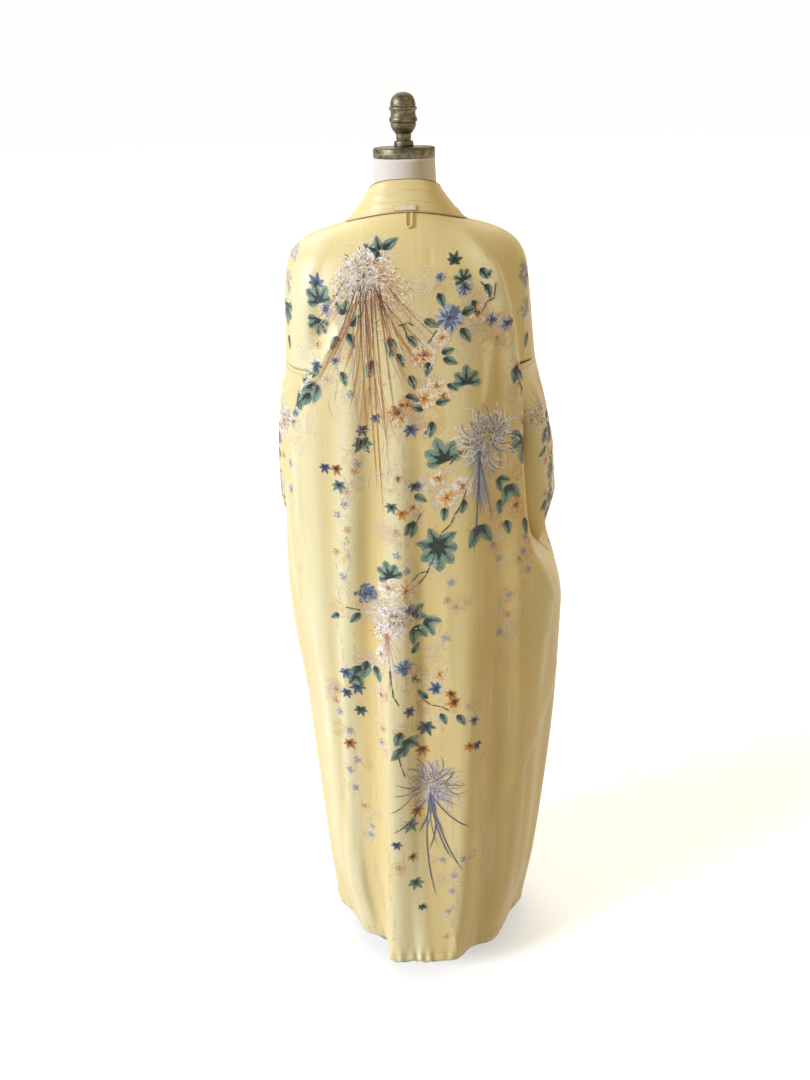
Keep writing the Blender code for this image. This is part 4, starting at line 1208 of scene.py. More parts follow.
def leaf(u, v, heading, size, lobes=3):
    """Lobes in a fan round the heading, dark at the root, with a dark vein and side veins."""
    web = lobes > 2
    count, apart = (5, 44) if web else (lobes, 58)
    width, form, bow = (size * 0.245, "petal", 6) if web else (size * 0.28, "leaf", 14)
    place = np.arange(count) - (count - 1) / 2
    fan = heading + place * apart + rng.uniform(-5, 5, count)
    long = size * (1.04 - 0.14 * np.abs(place)) * rng.uniform(0.94, 1.06, count)
    if web:
        x, y = away(u, v, heading, -0.1 * size)
        strokes(x, y, heading, size * 0.7, size * 0.36, "disc", "forest teal", 1)
    inks = "forest teal mist" if lobes > 1 else "forest teal"
    strokes(u, v, fan, long, width, form, inks, 2, bow)
    strokes(u, v, fan, long * 0.55, width * 0.42, "leaf", "ink forest", 3, bow)
    strokes(u, v, fan, long * 0.86, 0.6, "line", "ink forest", 3, bow)
    for side in (-1, 1):
        for share in (0.16, 0.30, 0.44, 0.58, 0.72):
            x, y = away(u, v, fan + bow * share / 2, long * share)
            way = fan + side * 36
            strokes(x, y, way, width * 0.70, 0.49, "line", "ink forest", 3, -side * 14)


def blossom(u, v, size, inks, petals, turn):
    """Uneven narrow petals, streaks of the heart's ink in them, and a dark dotted heart. The
    inks are those of the heart and the rim."""
    heart, rim = inks.split()
    cool = heart in ("navy", "blue", "slate")
    base, tip, wide = ("slate", "sky", 0.085) if cool else ("apricot", rim, 0.115)
    count, many = 2 * petals, 4 * petals
    around = turn + np.arange(count) * 360 / count + rng.uniform(-8, 8, count)
    long = size * rng.uniform(0.38, 0.56, count)
    fine = turn + rng.uniform(0, 360, many)
    x, y = away(u, v, fine, size * rng.uniform(0.06, 0.26, many))
    dots = rng.uniform(0, 360, 8)
    dot_x, dot_y = away(u, v, dots, size * rng.uniform(0.02, 0.12, 8))
    streak = size * rng.uniform(0.12, 0.24, many) * 1.15
    bend = rng.uniform(-25, 25, count)
    strokes(u, v, around, long, size * wide, "petal", f"{base} {tip} white", 1, bend)
    strokes(x, y, fine, streak, size * 0.042, "leaf", f"{heart} {base}", 2)
    strokes(u, v, fine[: petals + 2], size * 0.23, 0.7, "line", f"ink {heart}", 3)
    strokes(dot_x, dot_y, dots, 1.8, 0.9, "disc", "ink brown", 4)


def star(u, v, size, inks, heading):
    """A small maple leaf in a dark and a pale ink: lobes in a fan, with faded tips."""
    dark, pale = inks.split()
    fan = heading + np.array([-124, -74, -26, 22, 70, 120]) + rng.uniform(-9, 9, 6)
    long = size * np.array([0.40, 0.52, 0.64, 0.62, 0.52, 0.38])
    inks, line = f"{dark} {pale} {FADED.get(pale, 'sky')}", f"ink {dark}"
    strokes(u, v, fan, long, size * 0.13, "leaf", inks, 1, 8)
    strokes(u, v, fan, long * 0.40, size * 0.045, "leaf", line, 2, 8)
    strokes(u, v, fan, long * 0.90, 0.4, "line", line, 3, 8)
    strokes(u, v, fan + 16, long * 0.70, 0.3, "line", line, 3, 8)
    strokes(u, v, fan - 16, long * 0.66, 0.3, "line", line, 3, -8)


def paw(u, v, size, warm):
    """A faded small flower: five round petals, dark streaks beside them and a dark eye."""
    dark, pale = ("rust", "apricot") if warm else ("slate", "sky")
    around = rng.uniform(0, 72) + np.arange(5) * 72.0 + rng.uniform(-12, 12, 5)
    x, y = away(u, v, around, 0.10 * size)
    long = size * rng.uniform(0.28, 0.44, 5)
    strokes(x, y, around, long, size * 0.14, "disc", f"blush {pale} lavender", 1)
    strokes(x, y, around + 20, size * 0.26, size * 0.045, "leaf", f"{dark} {dark}", 2)
    strokes(u, v, 0.0, size * 0.16, size * 0.07, "disc", f"ink {dark}", 3)


def spider(u, v, radius, petals, inks, dash, fall=0):
    """A chrysanthemum: narrow petals curl round the heart, longer the further out, and
    short dark dashes lie in the gaps between them."""
    around = np.arange(petals) * 137.5 + rng.uniform(-25, 25, petals)
    share = np.sqrt((np.arange(petals) + 1) / petals)
    x, y = away(u, v, around, radius * share * rng.uniform(0.15, 0.62, petals))
    curl = np.where(rng.uniform(0, 1, petals) > 0.5, 1, -1) * rng.uniform(70, 260, petals)
    way = around + fall * np.cos(np.radians(around)) + rng.uniform(-30, 30, petals)
    long = radius * (0.30 + 0.45 * share) * rng.uniform(0.6, 1.15, petals)
    gap = rng.uniform(0, 360, petals)
    gap_x, gap_y = away(u, v, gap, radius * rng.uniform(0.10, 0.75, petals))
    short = radius * rng.uniform(0.05, 0.14, petals)
    veins = f"{dash} {inks.split()[2]}"
    strokes(gap_x, gap_y, gap, short, 0.8, "leaf", f"{dash} {dash}", 3)
    strokes(x, y, way, long, 1.9, "petal", inks, 2, curl, 1.8)
    strokes(x, y, way + 5, long * 0.55, 0.4, "line", veins, 3, curl * 0.4, 2)


def streamers(u, v, ends, width, inks, bow, level=3, spread=0):
    """Long petals that fall from a heart to their ends, each a little bowed. They start side
    by side over the spread."""
    ends = np.array(ends)
    count = len(ends)
    u = u + spread * np.linspace(-1, 1, count) + rng.normal(0, 0.25, count) * spread
    v = v + rng.uniform(-1, 1, count) * spread * 0.4
    du, dv = ends[:, 0] - u, ends[:, 1] - v
    bend = bow * np.sign(du + 1e-9) * rng.uniform(0.6, 1.4, count)
    way = bearing(du, dv) - bend / 2
    strokes(u, v, way, np.hypot(du, dv) * 1.01, width, "line", inks, level, bend)


def arcs(u, v, count, reach, width, inks):
    """Bent petals all round a heart, some long and some short."""
    heading = np.linspace(-180, 180, count, endpoint=False) + rng.uniform(-9, 9, count)
    x, y = away(u, v, heading, reach * rng.uniform(0.10, 0.35, count))
    turn = rng.choice([-1, 1], count) * rng.uniform(35, 120, count)
    long = reach * rng.uniform(0.45, 1.05, count)
    strokes(x, y, heading - turn * 0.2, long, width, "petal", inks, 2, turn, 1.6)


def loops(low, high, top, bottom, count, size, tints):
    """Thin looping lines between two u and two v, in turn in the tints."""
    x, y = rng.uniform(low, high, count), rng.uniform(top, bottom, count)
    way = rng.uniform(40, 140, count)
    turn = rng.choice([-1, 1], count) * rng.uniform(120, 300, count)
    long = size * rng.uniform(0.5, 1.3, count)
    for tint, x, y, way, long, turn in in_turn(tints.split(), x, y, way, long, turn):
        strokes(x, y, way, long, 0.55, "line", f"{tint} cream {tint}", 2, turn, 1.6)


def twig(points):
    """A broken line: one stroke from each point to the next."""
    points = np.array(points)
    du, dv = np.diff(points, axis=0).T
    u, v = points[:-1].T
    strokes(u, v, bearing(du, dv), np.hypot(du, dv) * 1.06, 1, "line", "brown ink", 3, 4)


def string(u, v, length):
    """A faint hanging string: short upright dashes, about one to a centimetre."""
    count = int(length / 10)
    x = u + rng.normal(0, 3, count)
    y = v + np.sort(rng.uniform(0, length, count))
    long = rng.uniform(3, 14, count)
    strokes(x, y, 90 + rng.uniform(-3, 3, count), long, 0.5, "line", "lavender lavender")


def sprinkle(places, count, scatter):
    """Small pale petals and dark specks round each place."""
    spots = np.repeat(np.array(places), count, axis=0)
    u, v = (spots + rng.normal(0, scatter, spots.shape)).T
    way, long = rng.uniform(0, 360, len(u)), rng.uniform(2.5, 6.5, len(u))
    for inks, u, v, way, long in in_turn(SPECK_INKS, u, v, way, long):
        thin = 0.5 if inks == "ink slate" else 1.0
        strokes(u, v, way, long * thin, 1.1 * thin, "petal", inks)


def spray(u, v, size, side):
    """A twig that bends down from a chrysanthemum, with leaves, blossoms and stars beside it
    and faded small flowers under it."""
    t = np.linspace(0, 1, 7)
    x = u + side * size * (0.35 * t + 0.10 * np.sin(6 * t))
    y = v + size * (0.85 * t + 0.06 * np.cos(5 * t))
    path = np.stack([x, y], axis=-1)
    twig(path)
    string(x[3], y[3], size * 0.9)
    string(x[1], y[2], size)
    arcs(u, v, 26, size * 0.26, 1.2, "lavender white sky")
    sprinkle(path, 10, size * 0.09)
    spider(u, v, size * 0.20, 40, "blush white lavender", "ink")
    for k in range(1, 7):
        lean, beside = (80, 1) if k % 2 else (-70, -1)
        heading, off = 90 + lean + rng.uniform(-25, 25), 0.10 * size * beside
        leaf(x[k] + off * 0.4, y[k], heading, size * 0.17, 1 if k % 3 else 3)
        if k % 2:
            inks = "blue sky" if k == 3 else "orange cream"
            blossom(x[k] - off, y[k] - off * 0.3, size * 0.20, inks, 6, 31.0 * k)
        else:
            star(x[k] - 1.6 * off, y[k], size * 0.15, "navy slate", 90)
    for k in range(6):
        across = side * size * rng.uniform(-0.1, 0.5)
        paw(u + across, v + size * (0.5 + 0.14 * k), 16, k % 2 == 0)


print("motifs ready")

# %% [markdown]
# ## Where the flowers lie
# The design falls from the shoulders in loose groups: a large pale chrysanthemum with a fan
# of long orange petals, a spray of blossoms beside it, a grey-blue chrysanthemum at the
# waist, and thinner groups down to the hem. Places are u and v in millimetres.

# %% Places on the back
LEAVES = (
    (44, 60, 200, 20, 1), (40, 60, 250, 21, 1), (36, 58, 320, 24, 1), (42, 60, 110, 19, 1),
    (98, 156, 250, 21, 2), (138, 142, 250, 23, 4), (142, 168, 100, 20, 3), (94, 182, 60, 22, 1),
    (107, 187, 120, 22, 1), (88, 172, 300, 20, 1), (28, 187, 80, 28, 1), (58, 222, 100, 26, 1),
    (106, 240, 70, 20, 1), (150, 262, 120, 30, 2), (191, 272, 100, 34, 2), (198, 284, 250, 28, 2),
    (160, 278, 140, 32, 1), (215, 160, 90, 20, 2), (-86, 110, 250, 16, 3), (-89, 262, 268, 25, 3),
    (-172, 244, 60, 26, 2), (-53, 384, 250, 33, 3), (-41, 530, 90, 36, 3), (-41, 528, 210, 32, 2),
    (-42, 527, 320, 30, 1), (40, 580, 250, 25, 3), (-14, 664, 20, 28, 2), (6, 652, 340, 26, 2),
    (4, 672, 60, 30, 2), (96, 650, 120, 20, 1), (132, 656, 140, 18, 1), (89, 742, 100, 32, 1),
    (102, 752, 120, 34, 1), (76, 748, 70, 26, 1), (110, 772, 90, 22, 2), (6, 764, 60, 20, 1),
    (7, 722, 300, 20, 1), (34, 868, 100, 26, 1), (26, 884, 60, 32, 2), (30, 898, 120, 28, 1),
    (-18, 812, 220, 20, 1), (-40, 840, 60, 20, 1), (-69, 842, 50, 22, 1), (-199, 362, 100, 36, 3),
    (-217, 386, 80, 22, 1), (-145, 426, 40, 22, 2), (-163, 440, 70, 30, 2), (-148, 462, 80, 22, 1),
    (-160, 500, 70, 22, 1), (-198, 500, 80, 26, 1), (-109, 500, 75, 36, 2), (-85, 452, 100, 20, 1),
    (0, 484, 95, 24, 1), (147, 234, 110, 18, 1),
)
OVALS = (
    (-46, 124, 60, 21), (-24, 163, 20, 22), (-82, 158, 340, 24), (-80, 178, 50, 24),
    (0, 186, 50, 21), (18, 212, 60, 20), (-50, 214, 340, 20), (-52, 222, 20, 22),
    (-30, 226, 90, 22), (0, 246, 60, 22), (-58, 262, 30, 18), (8, 278, 20, 22),
    (-40, 292, 340, 21), (-20, 302, 200, 20), (-34, 320, 90, 24), (-52, 462, 90, 22),
    (-3, 441, 20, 22), (4, 486, 110, 22), (-112, 98, 50, 20), (-120, 122, 60, 18),
    (-100, 140, 70, 22),
)
BLOSSOMS = (
    (-64, 162, 46, "blue sky", 9), (-22, 216, 44, "rust cream", 6),
    (-22, 284, 40, "orange cream", 6), (4, 292, 36, "orange apricot", 6),
    (20, 304, 24, "orange cream", 5), (-42, 263, 36, "apricot white", 6),
    (-52, 280, 30, "orange cream", 6), (-42, 415, 30, "orange cream", 6),
    (-56, 446, 40, "orange cream", 6), (-82, 430, 44, "apricot white", 7),
    (-180, 478, 32, "rust apricot", 6), (199, 330, 26, "apricot white", 5),
    (0, 462, 26, "apricot cream", 5), (147, 204, 18, "orange apricot", 5),
    (115, 224, 20, "navy blue", 5), (-50, 101, 17, "blue sky", 7), (-86, 120, 28, "navy blue", 6),
    (-125, 109, 14, "blue sky", 5), (-131, 172, 24, "navy slate", 6),
    (-155, 180, 24, "navy slate", 6), (-108, 160, 34, "apricot cream", 6),
    (-52, 190, 34, "apricot cream", 6), (12, 292, 18, "blue sky", 6),
    (128, 152, 22, "navy sky", 6), (22, 745, 36, "blue sky", 8), (79, 615, 36, "navy slate", 11),
    (-4, 776, 26, "orange cream", 5), (-40, 764, 22, "orange apricot", 5),
    (44, 600, 40, "blush white", 7), (15, 605, 44, "apricot white", 7),
    (12, 640, 30, "slate white", 6), (60, 722, 30, "blush white", 6),
    (22, 411, 16, "brown apricot", 5), (-10, 426, 20, "slate sky", 6),
    (150, 806, 22, "apricot lavender", 5), (64, 800, 30, "apricot blush", 6),
    (-200, 300, 30, "apricot cream", 6), (-196, 330, 22, "rust apricot", 5),
    (-140, 200, 18, "rust apricot", 5), (170, 250, 18, "slate sky", 5),
    (-24, 338, 20, "sky white", 5), (194, 312, 20, "slate sky", 6),
)
STARS = (
    (-73, 80, 26, "forest leaf", 270), (142, 120, 28, "navy blue", 250),
    (77, 330, 24, "navy slate", 90), (55, 311, 20, "navy blue", 80), (0, 330, 26, "navy blue", 90),
    (20, 300, 34, "brown orange", 90), (142, 396, 22, "navy slate", 90),
    (122, 396, 24, "ink orange", 80), (118, 423, 28, "forest teal", 100),
    (78, 352, 34, "forest leaf", 90), (-4, 424, 22, "navy slate", 90),
    (34, 457, 24, "forest teal", 90), (18, 468, 22, "orange orange", 90),
    (130, 806, 24, "navy slate", 100), (128, 766, 28, "navy blue", 90),
    (110, 794, 30, "navy slate", 90), (-34, 792, 28, "navy blue", 200),
    (16, 829, 26, "navy slate", 90), (-100, 856, 24, "navy lavender", 90),
    (108, 840, 26, "forest leaf", 90), (-14, 866, 36, "forest leaf", 90),
    (133, 912, 28, "brown orange", 80), (-7, 912, 30, "brown orange", 90),
    (6, 1037, 30, "brown orange", 80), (20, 1064, 36, "forest teal", 90),
    (18, 1136, 26, "brown apricot", 60), (12, 1196, 36, "forest teal", 80),
    (46, 1106, 22, "navy slate", 90), (0, 1255, 20, "navy slate", 70),
    (-66, 818, 30, "brown orange", 200), (-60, 800, 24, "brown orange", 120),
    (148, 232, 22, "navy slate", 100), (-107, 908, 22, "ink slate", 90),
    (-92, 906, 24, "rust orange", 120),
)
PAWS = (
    (28, 503), (28, 542), (87, 388), (107, 434), (111, 457), (124, 476), (131, 542), (215, 403),
    (218, 449), (-154, 507), (-196, 534), (-146, 565), (-183, 572), (-202, 595), (-166, 634),
    (-164, 672), (-151, 703), (-61, 595), (-53, 626), (-50, 695), (131, 887), (65, 868),
    (121, 948), (136, 971), (114, 1048), (100, 1090), (5, 887), (-88, 829), (-60, 1186),
    (-49, 1271), (-45, 1332), (-78, 1150), (-40, 1150), (108, 500), (-136, 540), (120, 585),
    (92, 400), (12, 570), (-192, 560), (-68, 640), (104, 1110), (-56, 1222), (44, 1160),
    (128, 1010), (70, 895), (154, 830), (148, 852), (-30, 560), (132, 255), (92, 275),
)
TWIGS = (
    ((-101, 157), (-116, 157), (-122, 146), (-134, 142), (-136, 122)),
    ((-112, 116), (-124, 130), (-128, 142)), ((-44, 178), (-36, 190), (-30, 198)),
    ((10, 168), (4, 178), (2, 190)), ((16, 170), (0, 166), (-8, 170)),
    ((-172, 256), (-184, 270), (-190, 288)), ((-176, 270), (-196, 276)),
    ((-60, 392), (-72, 378), (-84, 368)),
    (
        (-88, 434), (-82, 457), (-68, 478), (-62, 492), (-46, 508), (-40, 525), (-34, 548),
        (-26, 566), (-20, 580), (-6, 598),
    ),
    ((-22, 574), (-8, 578), (4, 590)), ((-14, 470), (-8, 484), (2, 496)),
    ((118, 640), (104, 642), (94, 646)), ((-7, 812), (-24, 824), (-40, 826), (-56, 834)),
    ((46, 748), (44, 780), (42, 800), (34, 816)), ((40, 910), (34, 940), (28, 962)),
    ((190, 262), (184, 288), (192, 304)),
)
STRINGS = (
    (110, 500, 350), (130, 560, 220), (-150, 550, 200), (-170, 600, 180), (-50, 620, 160),
    (-40, 700, 200), (100, 1000, 300), (-120, 900, 300), (-60, 1150, 200), (210, 420, 200),
    (-190, 570, 200), (60, 1100, 250),
)
SPECKLED = ((64, 96), (110, 150), (40, 130), (-124, 356), (44, 640), (-22, 984))
LEAF_SCALE, OVAL_SCALE = 1.18, 1.12
print(len(LEAVES) + len(OVALS), "leaves,", len(BLOSSOMS), "blossoms,", len(STARS), "stars")


# %% Chrysanthemums on the back
def drop(v, low, high, count, reach, scatter):
    """Ends of a fan: evenly spread in u, and the nearer the middle the lower."""
    across = np.linspace(low, high, count) + rng.normal(0, scatter, count)
    middle = 1 - np.abs(np.linspace(-1, 1, count)) ** 1.5
    down = v + reach * (0.30 + 0.70 * middle) * rng.uniform(0.7, 1.05, count)
    return np.stack([across, down], axis=-1)


def top_flower():
    """A pale chrysanthemum with a wide fan of thin streamers."""
    fan = drop(110, -60, 158, 24, 270, 8)
    long = [(24, 310), (36, 380), (47, 470), (56, 430), (70, 340)]
    streamers(60, 112, fan, 0.45, "rust apricot rust", 26, 3, 26)
    streamers(62, 110, fan[1::3] + [3, -20], 0.45, "ink rust brown", 20, 4, 24)
    streamers(60, 112, fan[::3] + [4, 20], 0.6, "apricot cream blush", 18, 2, 28)
    streamers(62, 108, fan[2::4] + [2, -10], 0.5, "cream white blush", 14, 5, 22)
    streamers(56, 110, long, 0.6, "ink rust brown", 3, 5, 10)
    left, right = [(152, 266), (128, 232), (106, 250)], [(2, 262), (-22, 238), (-30, 206)]
    streamers(66, 108, left, 0.6, "ink rust orange", 12, 5, -8)
    streamers(50, 108, right, 0.6, "ink rust orange", 14, 5, 6)
    loops(-50, 60, 100, 240, 34, 50, "rust blush apricot")
    loops(0, 150, 200, 420, 34, 60, "blush lavender cream")
    arcs(64, 96, 26, 56, 1.1, "blush cream lavender")
    arcs(64, 96, 30, 44, 0.7, "brown blush rust")
    spider(68, 90, 44, 46, "lavender white blush", "ink", 20)
    spider(94, 116, 34, 32, "lavender cream white", "brown")
    spider(38, 94, 32, 30, "apricot cream blush", "rust")
    spider(62, 108, 18, 26, "brown blush white", "ink")
    spider(18, 118, 26, 22, "blush cream apricot", "rust")
    short = [(-50, 112), (-30, 122), (-4, 118), (-60, 128)]
    streamers(40, 104, short, 0.6, "rust cream apricot", -24)


def waist_flower():
    """A grey-blue chrysanthemum with a narrow bundle of streamers."""
    arcs(-124, 356, 46, 64, 1.4, "lavender white sky")
    arcs(-124, 356, 24, 50, 0.6, "navy slate navy")
    spider(-124, 350, 48, 70, "lavender white sky", "navy")
    spider(-142, 340, 28, 30, "slate white lavender", "ink")
    spider(-112, 372, 24, 30, "navy sky white", "ink")
    thin = [(-100, 546), (-136, 496), (-104, 520), (-112, 480)]
    streamers(-110, 372, drop(380, -140, -92, 18, 115, 3), 1.1, "slate sky lavender", 4)
    streamers(-110, 384, thin, 0.8, "navy slate", 3)
    loops(-160, -80, 330, 420, 12, 30, "sky white")


def middle_flower():
    """Two pale heads with a bundle of rusty streamers, and a small dark head."""
    arcs(40, 662, 34, 46, 1.2, "blush white lavender")
    spider(38, 655, 36, 48, "blush white lavender", "brown")
    spider(56, 680, 28, 30, "apricot cream white", "ink")
    streamers(48, 680, drop(690, 30, 75, 16, 120, 3), 0.8, "rust cream blush", 4)
    spider(82, 612, 22, 36, "navy slate sky", "ink")


def low_flower():
    """A slate chrysanthemum near the hem, with long bowed streamers on every side."""
    arcs(-22, 986, 40, 52, 1.4, "slate lavender white")
    arcs(-22, 986, 30, 56, 0.6, "navy slate navy")
    spider(-22, 984, 34, 44, "slate blush lavender", "navy")
    spider(-30, 994, 20, 20, "slate white lavender", "navy")
    long = [(-15, 1129), (-28, 1236), (-54, 1144), (-77, 1175), (-92, 1079), (54, 1083), (4, 1090)]
    short = [(-12, 1080), (-32, 1120), (-46, 1090), (-60, 1150)]
    left = [(45, 975), (50, 1000), (56, 1040), (-60, 950)]
    right = [(-80, 985), (-74, 1010), (-60, 955)]
    streamers(-20, 1000, long, 1.3, "slate navy lavender", 30)
    streamers(-20, 1000, short, 0.8, "navy slate lavender", 24)
    streamers(4, 990, left, 0.8, "slate navy lavender", 30)
    streamers(-45, 985, right, 0.7, "navy slate", 26)
    loops(-80, 50, 960, 1060, 18, 34, "slate lavender")


def edge_flowers():
    """Small heads and leaves beside the sleeves."""
    spider(-215, 130, 24, 30, "slate lavender sky", "navy")
    spider(-214, 172, 18, 20, "slate sky white", "ink")
    spider(206, 90, 20, 22, "blush lavender white", "slate")
    spider(212, 130, 16, 16, "slate sky white", "navy")
    leaf(215, 160, 90, 26, 3)
    leaf(214, 200, 80, 20, 1)
    leaf(-216, 205, 100, 22, 1)


def paint_back():
    for u, v, heading, size, lobes in LEAVES:
        leaf(u, v, heading, size * LEAF_SCALE, lobes)
    for u, v, heading, size in OVALS:
        leaf(u, v, heading, size * OVAL_SCALE, 1)
    for *row, petals in BLOSSOMS:
        blossom(*row, petals, 17.0 * petals)
    for row in STARS:
        star(*row)
    for k, (u, v) in enumerate(PAWS):
        paw(u, v, 17, k % 3 == 0)
    for points in TWIGS:
        twig(points)
    for row in STRINGS:
        string(*row)
    sprinkle([row[:2] for row in BLOSSOMS], 10, 16)
    sprinkle([row[:2] for row in LEAVES], 4, 12)
    sprinkle(SPECKLED, 30, 24)
    for flower in (top_flower, waist_flower, middle_flower, low_flower, edge_flowers):
        flower()
    return painted()


BACK_STROKES = paint_back()
print(len(BACK_STROKES), "strokes on the back")

# %% [markdown]
# ## From strokes to strips
# A stroke's centre line is its heading added up step by step, and its edges lie beside it by
# the half width of its form. Each flat place is then found again on the folded cloth: the
# row and the column that enclose it, with the four points there blended.

# %% Strips on the cloth
FORM_POWERS = ((1.7, 0.65), (0.72, 0.85))
LEAST_HALF = 0.04
RULER_STEP, EDGE_CLEAR = 0.001, 0.001
SLIM, FINE, LONG, SHORT = 0.004, 0.0005, 0.05, 0.009


def outline(form, t):
    """Half width along a stroke, as a share: a line tapers at its ends, a petal is widest
    near its tip, a leaf near its root, and a disc is a half circle on each side."""
    line = np.minimum(1, 7 * np.minimum(t, 1 - t)) ** 0.6
    petal, leaf_form = (np.sin(np.pi * t**lean) ** round_off for lean, round_off in FORM_POWERS)
    disc = np.sqrt(np.clip(1 - (2 * t - 1) ** 2, 0, 1))
    return np.maximum(np.choose(form, [line, petal, leaf_form, disc]), LEAST_HALF)


def of(rows, name):
    return rows[:, STROKE.index(name)]


def flat_strips(rows, steps, columns):
    """Flat places of each stroke's strip, as arrays of strokes, steps and columns."""
    get = {name: of(rows, name)[:, None] for name in STROKE}
    t = np.linspace(0, 1, steps + 1)[None]
    heading = np.radians(get["heading"] + get["turn"] * t ** get["power"])
    along = np.stack([-np.cos(heading), np.sin(heading)], axis=-1)
    middle = (along[:, 1:] + along[:, :-1]) / 2 * get["length"][..., None] / steps
    path = np.insert(np.cumsum(middle, axis=1), 0, 0.0, axis=1)
    path = path + np.stack([get["u"], get["v"]], axis=-1)
    beside = np.stack([np.sin(heading), np.cos(heading)], axis=-1)
    half = get["width"] * outline(get["form"].astype(int), t)
    s = np.linspace(-1, 1, columns + 1)
    places = path[:, :, None] + beside[:, :, None] * (half[..., None] * s)[..., None]
    return places, np.stack(np.broadcast_arrays(s, t[..., None], places[..., 0])[:2], axis=-1)


def on_cloth(made, u, v):
    """Points and normals at flat places. A ruler of 1 mm steps holds the column that each
    row has at each u, so that a place is found without a search."""
    ruler = np.arange(made.u.min(), made.u.max() + RULER_STEP, RULER_STEP)
    index = np.arange(made.u.shape[1])
    marks = np.stack([np.interp(ruler, row, index) for row in made.u])
    row = np.clip(np.searchsorted(made.v, v, side="right") - 1, 0, len(made.v) - 2)
    share = np.clip((v - made.v[row]) / np.maximum(made.v[row + 1] - made.v[row], 1e-9), 0, 1)
    mark = np.clip((u - ruler[0]) / RULER_STEP, 0, len(ruler) - 1.001)
    low = mark.astype(int)
    ends = []
    for k in (row, row + 1):
        place = marks[k, low] + (marks[k, low + 1] - marks[k, low]) * (mark - low)
        first = np.minimum(place.astype(int), made.u.shape[1] - 2)
        part = (place - first)[:, None]
        layers = (made.points, made.normals)
        ends.append([layer[k, first] * (1 - part) + layer[k, first + 1] * part for layer in layers])
    found = [upper + (lower - upper) * share[:, None] for upper, lower in zip(*ends)]
    inside = (u > made.u[row, 0]) & (u < made.u[row, -1]) & (u > made.u[row + 1, 0])
    inside &= (u < made.u[row + 1, -1]) & (v > EDGE_CLEAR) & (v < made.v[-1] - EDGE_CLEAR)
    return *found, inside


def batches(rows):
    """The strokes in six sizes of strip, each with its steps along and columns across."""
    slim, fine = of(rows, "width") < SLIM, of(rows, "width") < FINE
    long, short = of(rows, "length") > LONG, of(rows, "length") < SHORT
    return (
        (fine & ~long, 4, 1),
        (slim & ~fine & short, 4, 2),
        (slim & ~fine & ~long & ~short, 7, 2),
        (slim & long, 48, 2),
        (~slim & ~long, 8, 4),
        (~slim & long, 30, 4),
    )


def strips(made, rows):
    """Vertices, faces and attributes of the strokes."""
    order = np.arange(len(rows))
    points, faces, layers, count = [], [], [], 0
    for chosen, steps, columns in batches(rows):
        if not chosen.any():
            continue
        part = rows[chosen]
        places, inner = flat_strips(part, steps, columns)
        u, v = places[..., 0].ravel(), places[..., 1].ravel()
        place, normal, inside = on_cloth(made, u, v)
        rank = order[chosen] % ORDER_ROUND * ORDER_STEP
        lift = LIFT + of(part, "level") * LEVEL_STEP + rank
        each = (steps + 1) * (columns + 1)
        place = place + normal * np.repeat(lift, each)[:, None]
        corners = quads(numbered(places.shape[:3]), made.turned).reshape(-1, 4)
        flat = np.stack([u, v, 0 * u], axis=-1)
        real, plain = (
            np.linalg.norm(spots[corners[:, 0]] - spots[corners[:, 2]], axis=-1)
            for spots in (place, flat)
        )
        keep = inside[corners].all(axis=1) & (real < 1.5 * plain + 0.001)
        dyes = [DYES[of(part, name).astype(int)] for name in ("root", "tip", "edge")]
        seed = np.repeat(order[chosen] * 0.37 % 50, each)
        stroke = np.concatenate([inner.reshape(-1, 2), seed[:, None]], axis=1)
        used, new_faces = np.unique(corners[keep], return_inverse=True)
        points.append(place[used])
        faces.append(new_faces.reshape(-1, 4) + count)
        vectors = (normal, stroke, flat, *(np.repeat(dye, each, axis=0) for dye in dyes))
        layers.append([layer[used] for layer in vectors])
        count += len(used)
    joined = [np.concatenate(same) for same in zip(*layers)]
    return np.concatenate(points), np.concatenate(faces), joined


def paint_finish():
    finish = Finish("silk_paint", sheen_weight=0.3, **SHEEN)
    across, along, seed = finish.parts(finish.attribute("stroke"))
    root, tip, edge = (finish.attribute(name) for name in ("root", "tip", "edge"))
    body = finish.mix(root, tip, along.step(0.04, 0.58))
    brush = finish.noise(finish.joined(across * 5, along * 2, seed), 1, 2)
    body = finish.mix(body, root, brush.step(0.50, 0.70) * 0.4)
    body = finish.mix(body, edge, across.size().step(0.62, 0.95) * 0.6)
    flat = finish.attribute("flat")
    worn = finish.noise(flat, (420, 160, 1), 2)
    shown = 0.97 - worn.step(0.50, 0.72) * 0.55 - across.size().step(0.82, 1.0) * 0.3
    shown = shown - along.step(0.72, 1.0) * 0.3
    finish.show(base_color=body, roughness=0.5 - 0.08 * brush, alpha=shown)
    weave(finish, flat)
    return finish.material


def wash_finish():
    """Thin colour that fades to the rim: 1 less the square of the distance from the middle,
    which is across and along put together on the disc."""
    finish = Finish("silk_wash", roughness=0.5)
    across, along, seed = finish.parts(finish.attribute("stroke"))
    centre = along * 2 - 1
    square = centre * centre
    rest = 1 - square - across * across * (1 - square)
    cloud = finish.noise(finish.joined(across * 1.5, along * 3, seed), 1, 3)
    share = rest.step(0.0, 0.8) * cloud.step(0.30, 0.70)
    tone = finish.mix(finish.attribute("root"), SILK_PALE, cloud * 0.4)
    finish.show(base_color=tone, alpha=share * 0.5)
    return finish.material


PAINT, WASH = paint_finish(), wash_finish()


def paint(name, made, rows, finish=PAINT):
    points, faces, (normals, *layers) = strips(made, rows)
    piece = new_piece(name, points, faces.tolist(), finish)
    for label, values in zip(("stroke", "flat", "root", "tip", "edge"), layers):
        add_vectors(piece, label, values)
    piece.data.normals_split_custom_set_from_vertices(normals)
    print(name, len(rows), "strokes,", 2 * len(faces), "triangles")


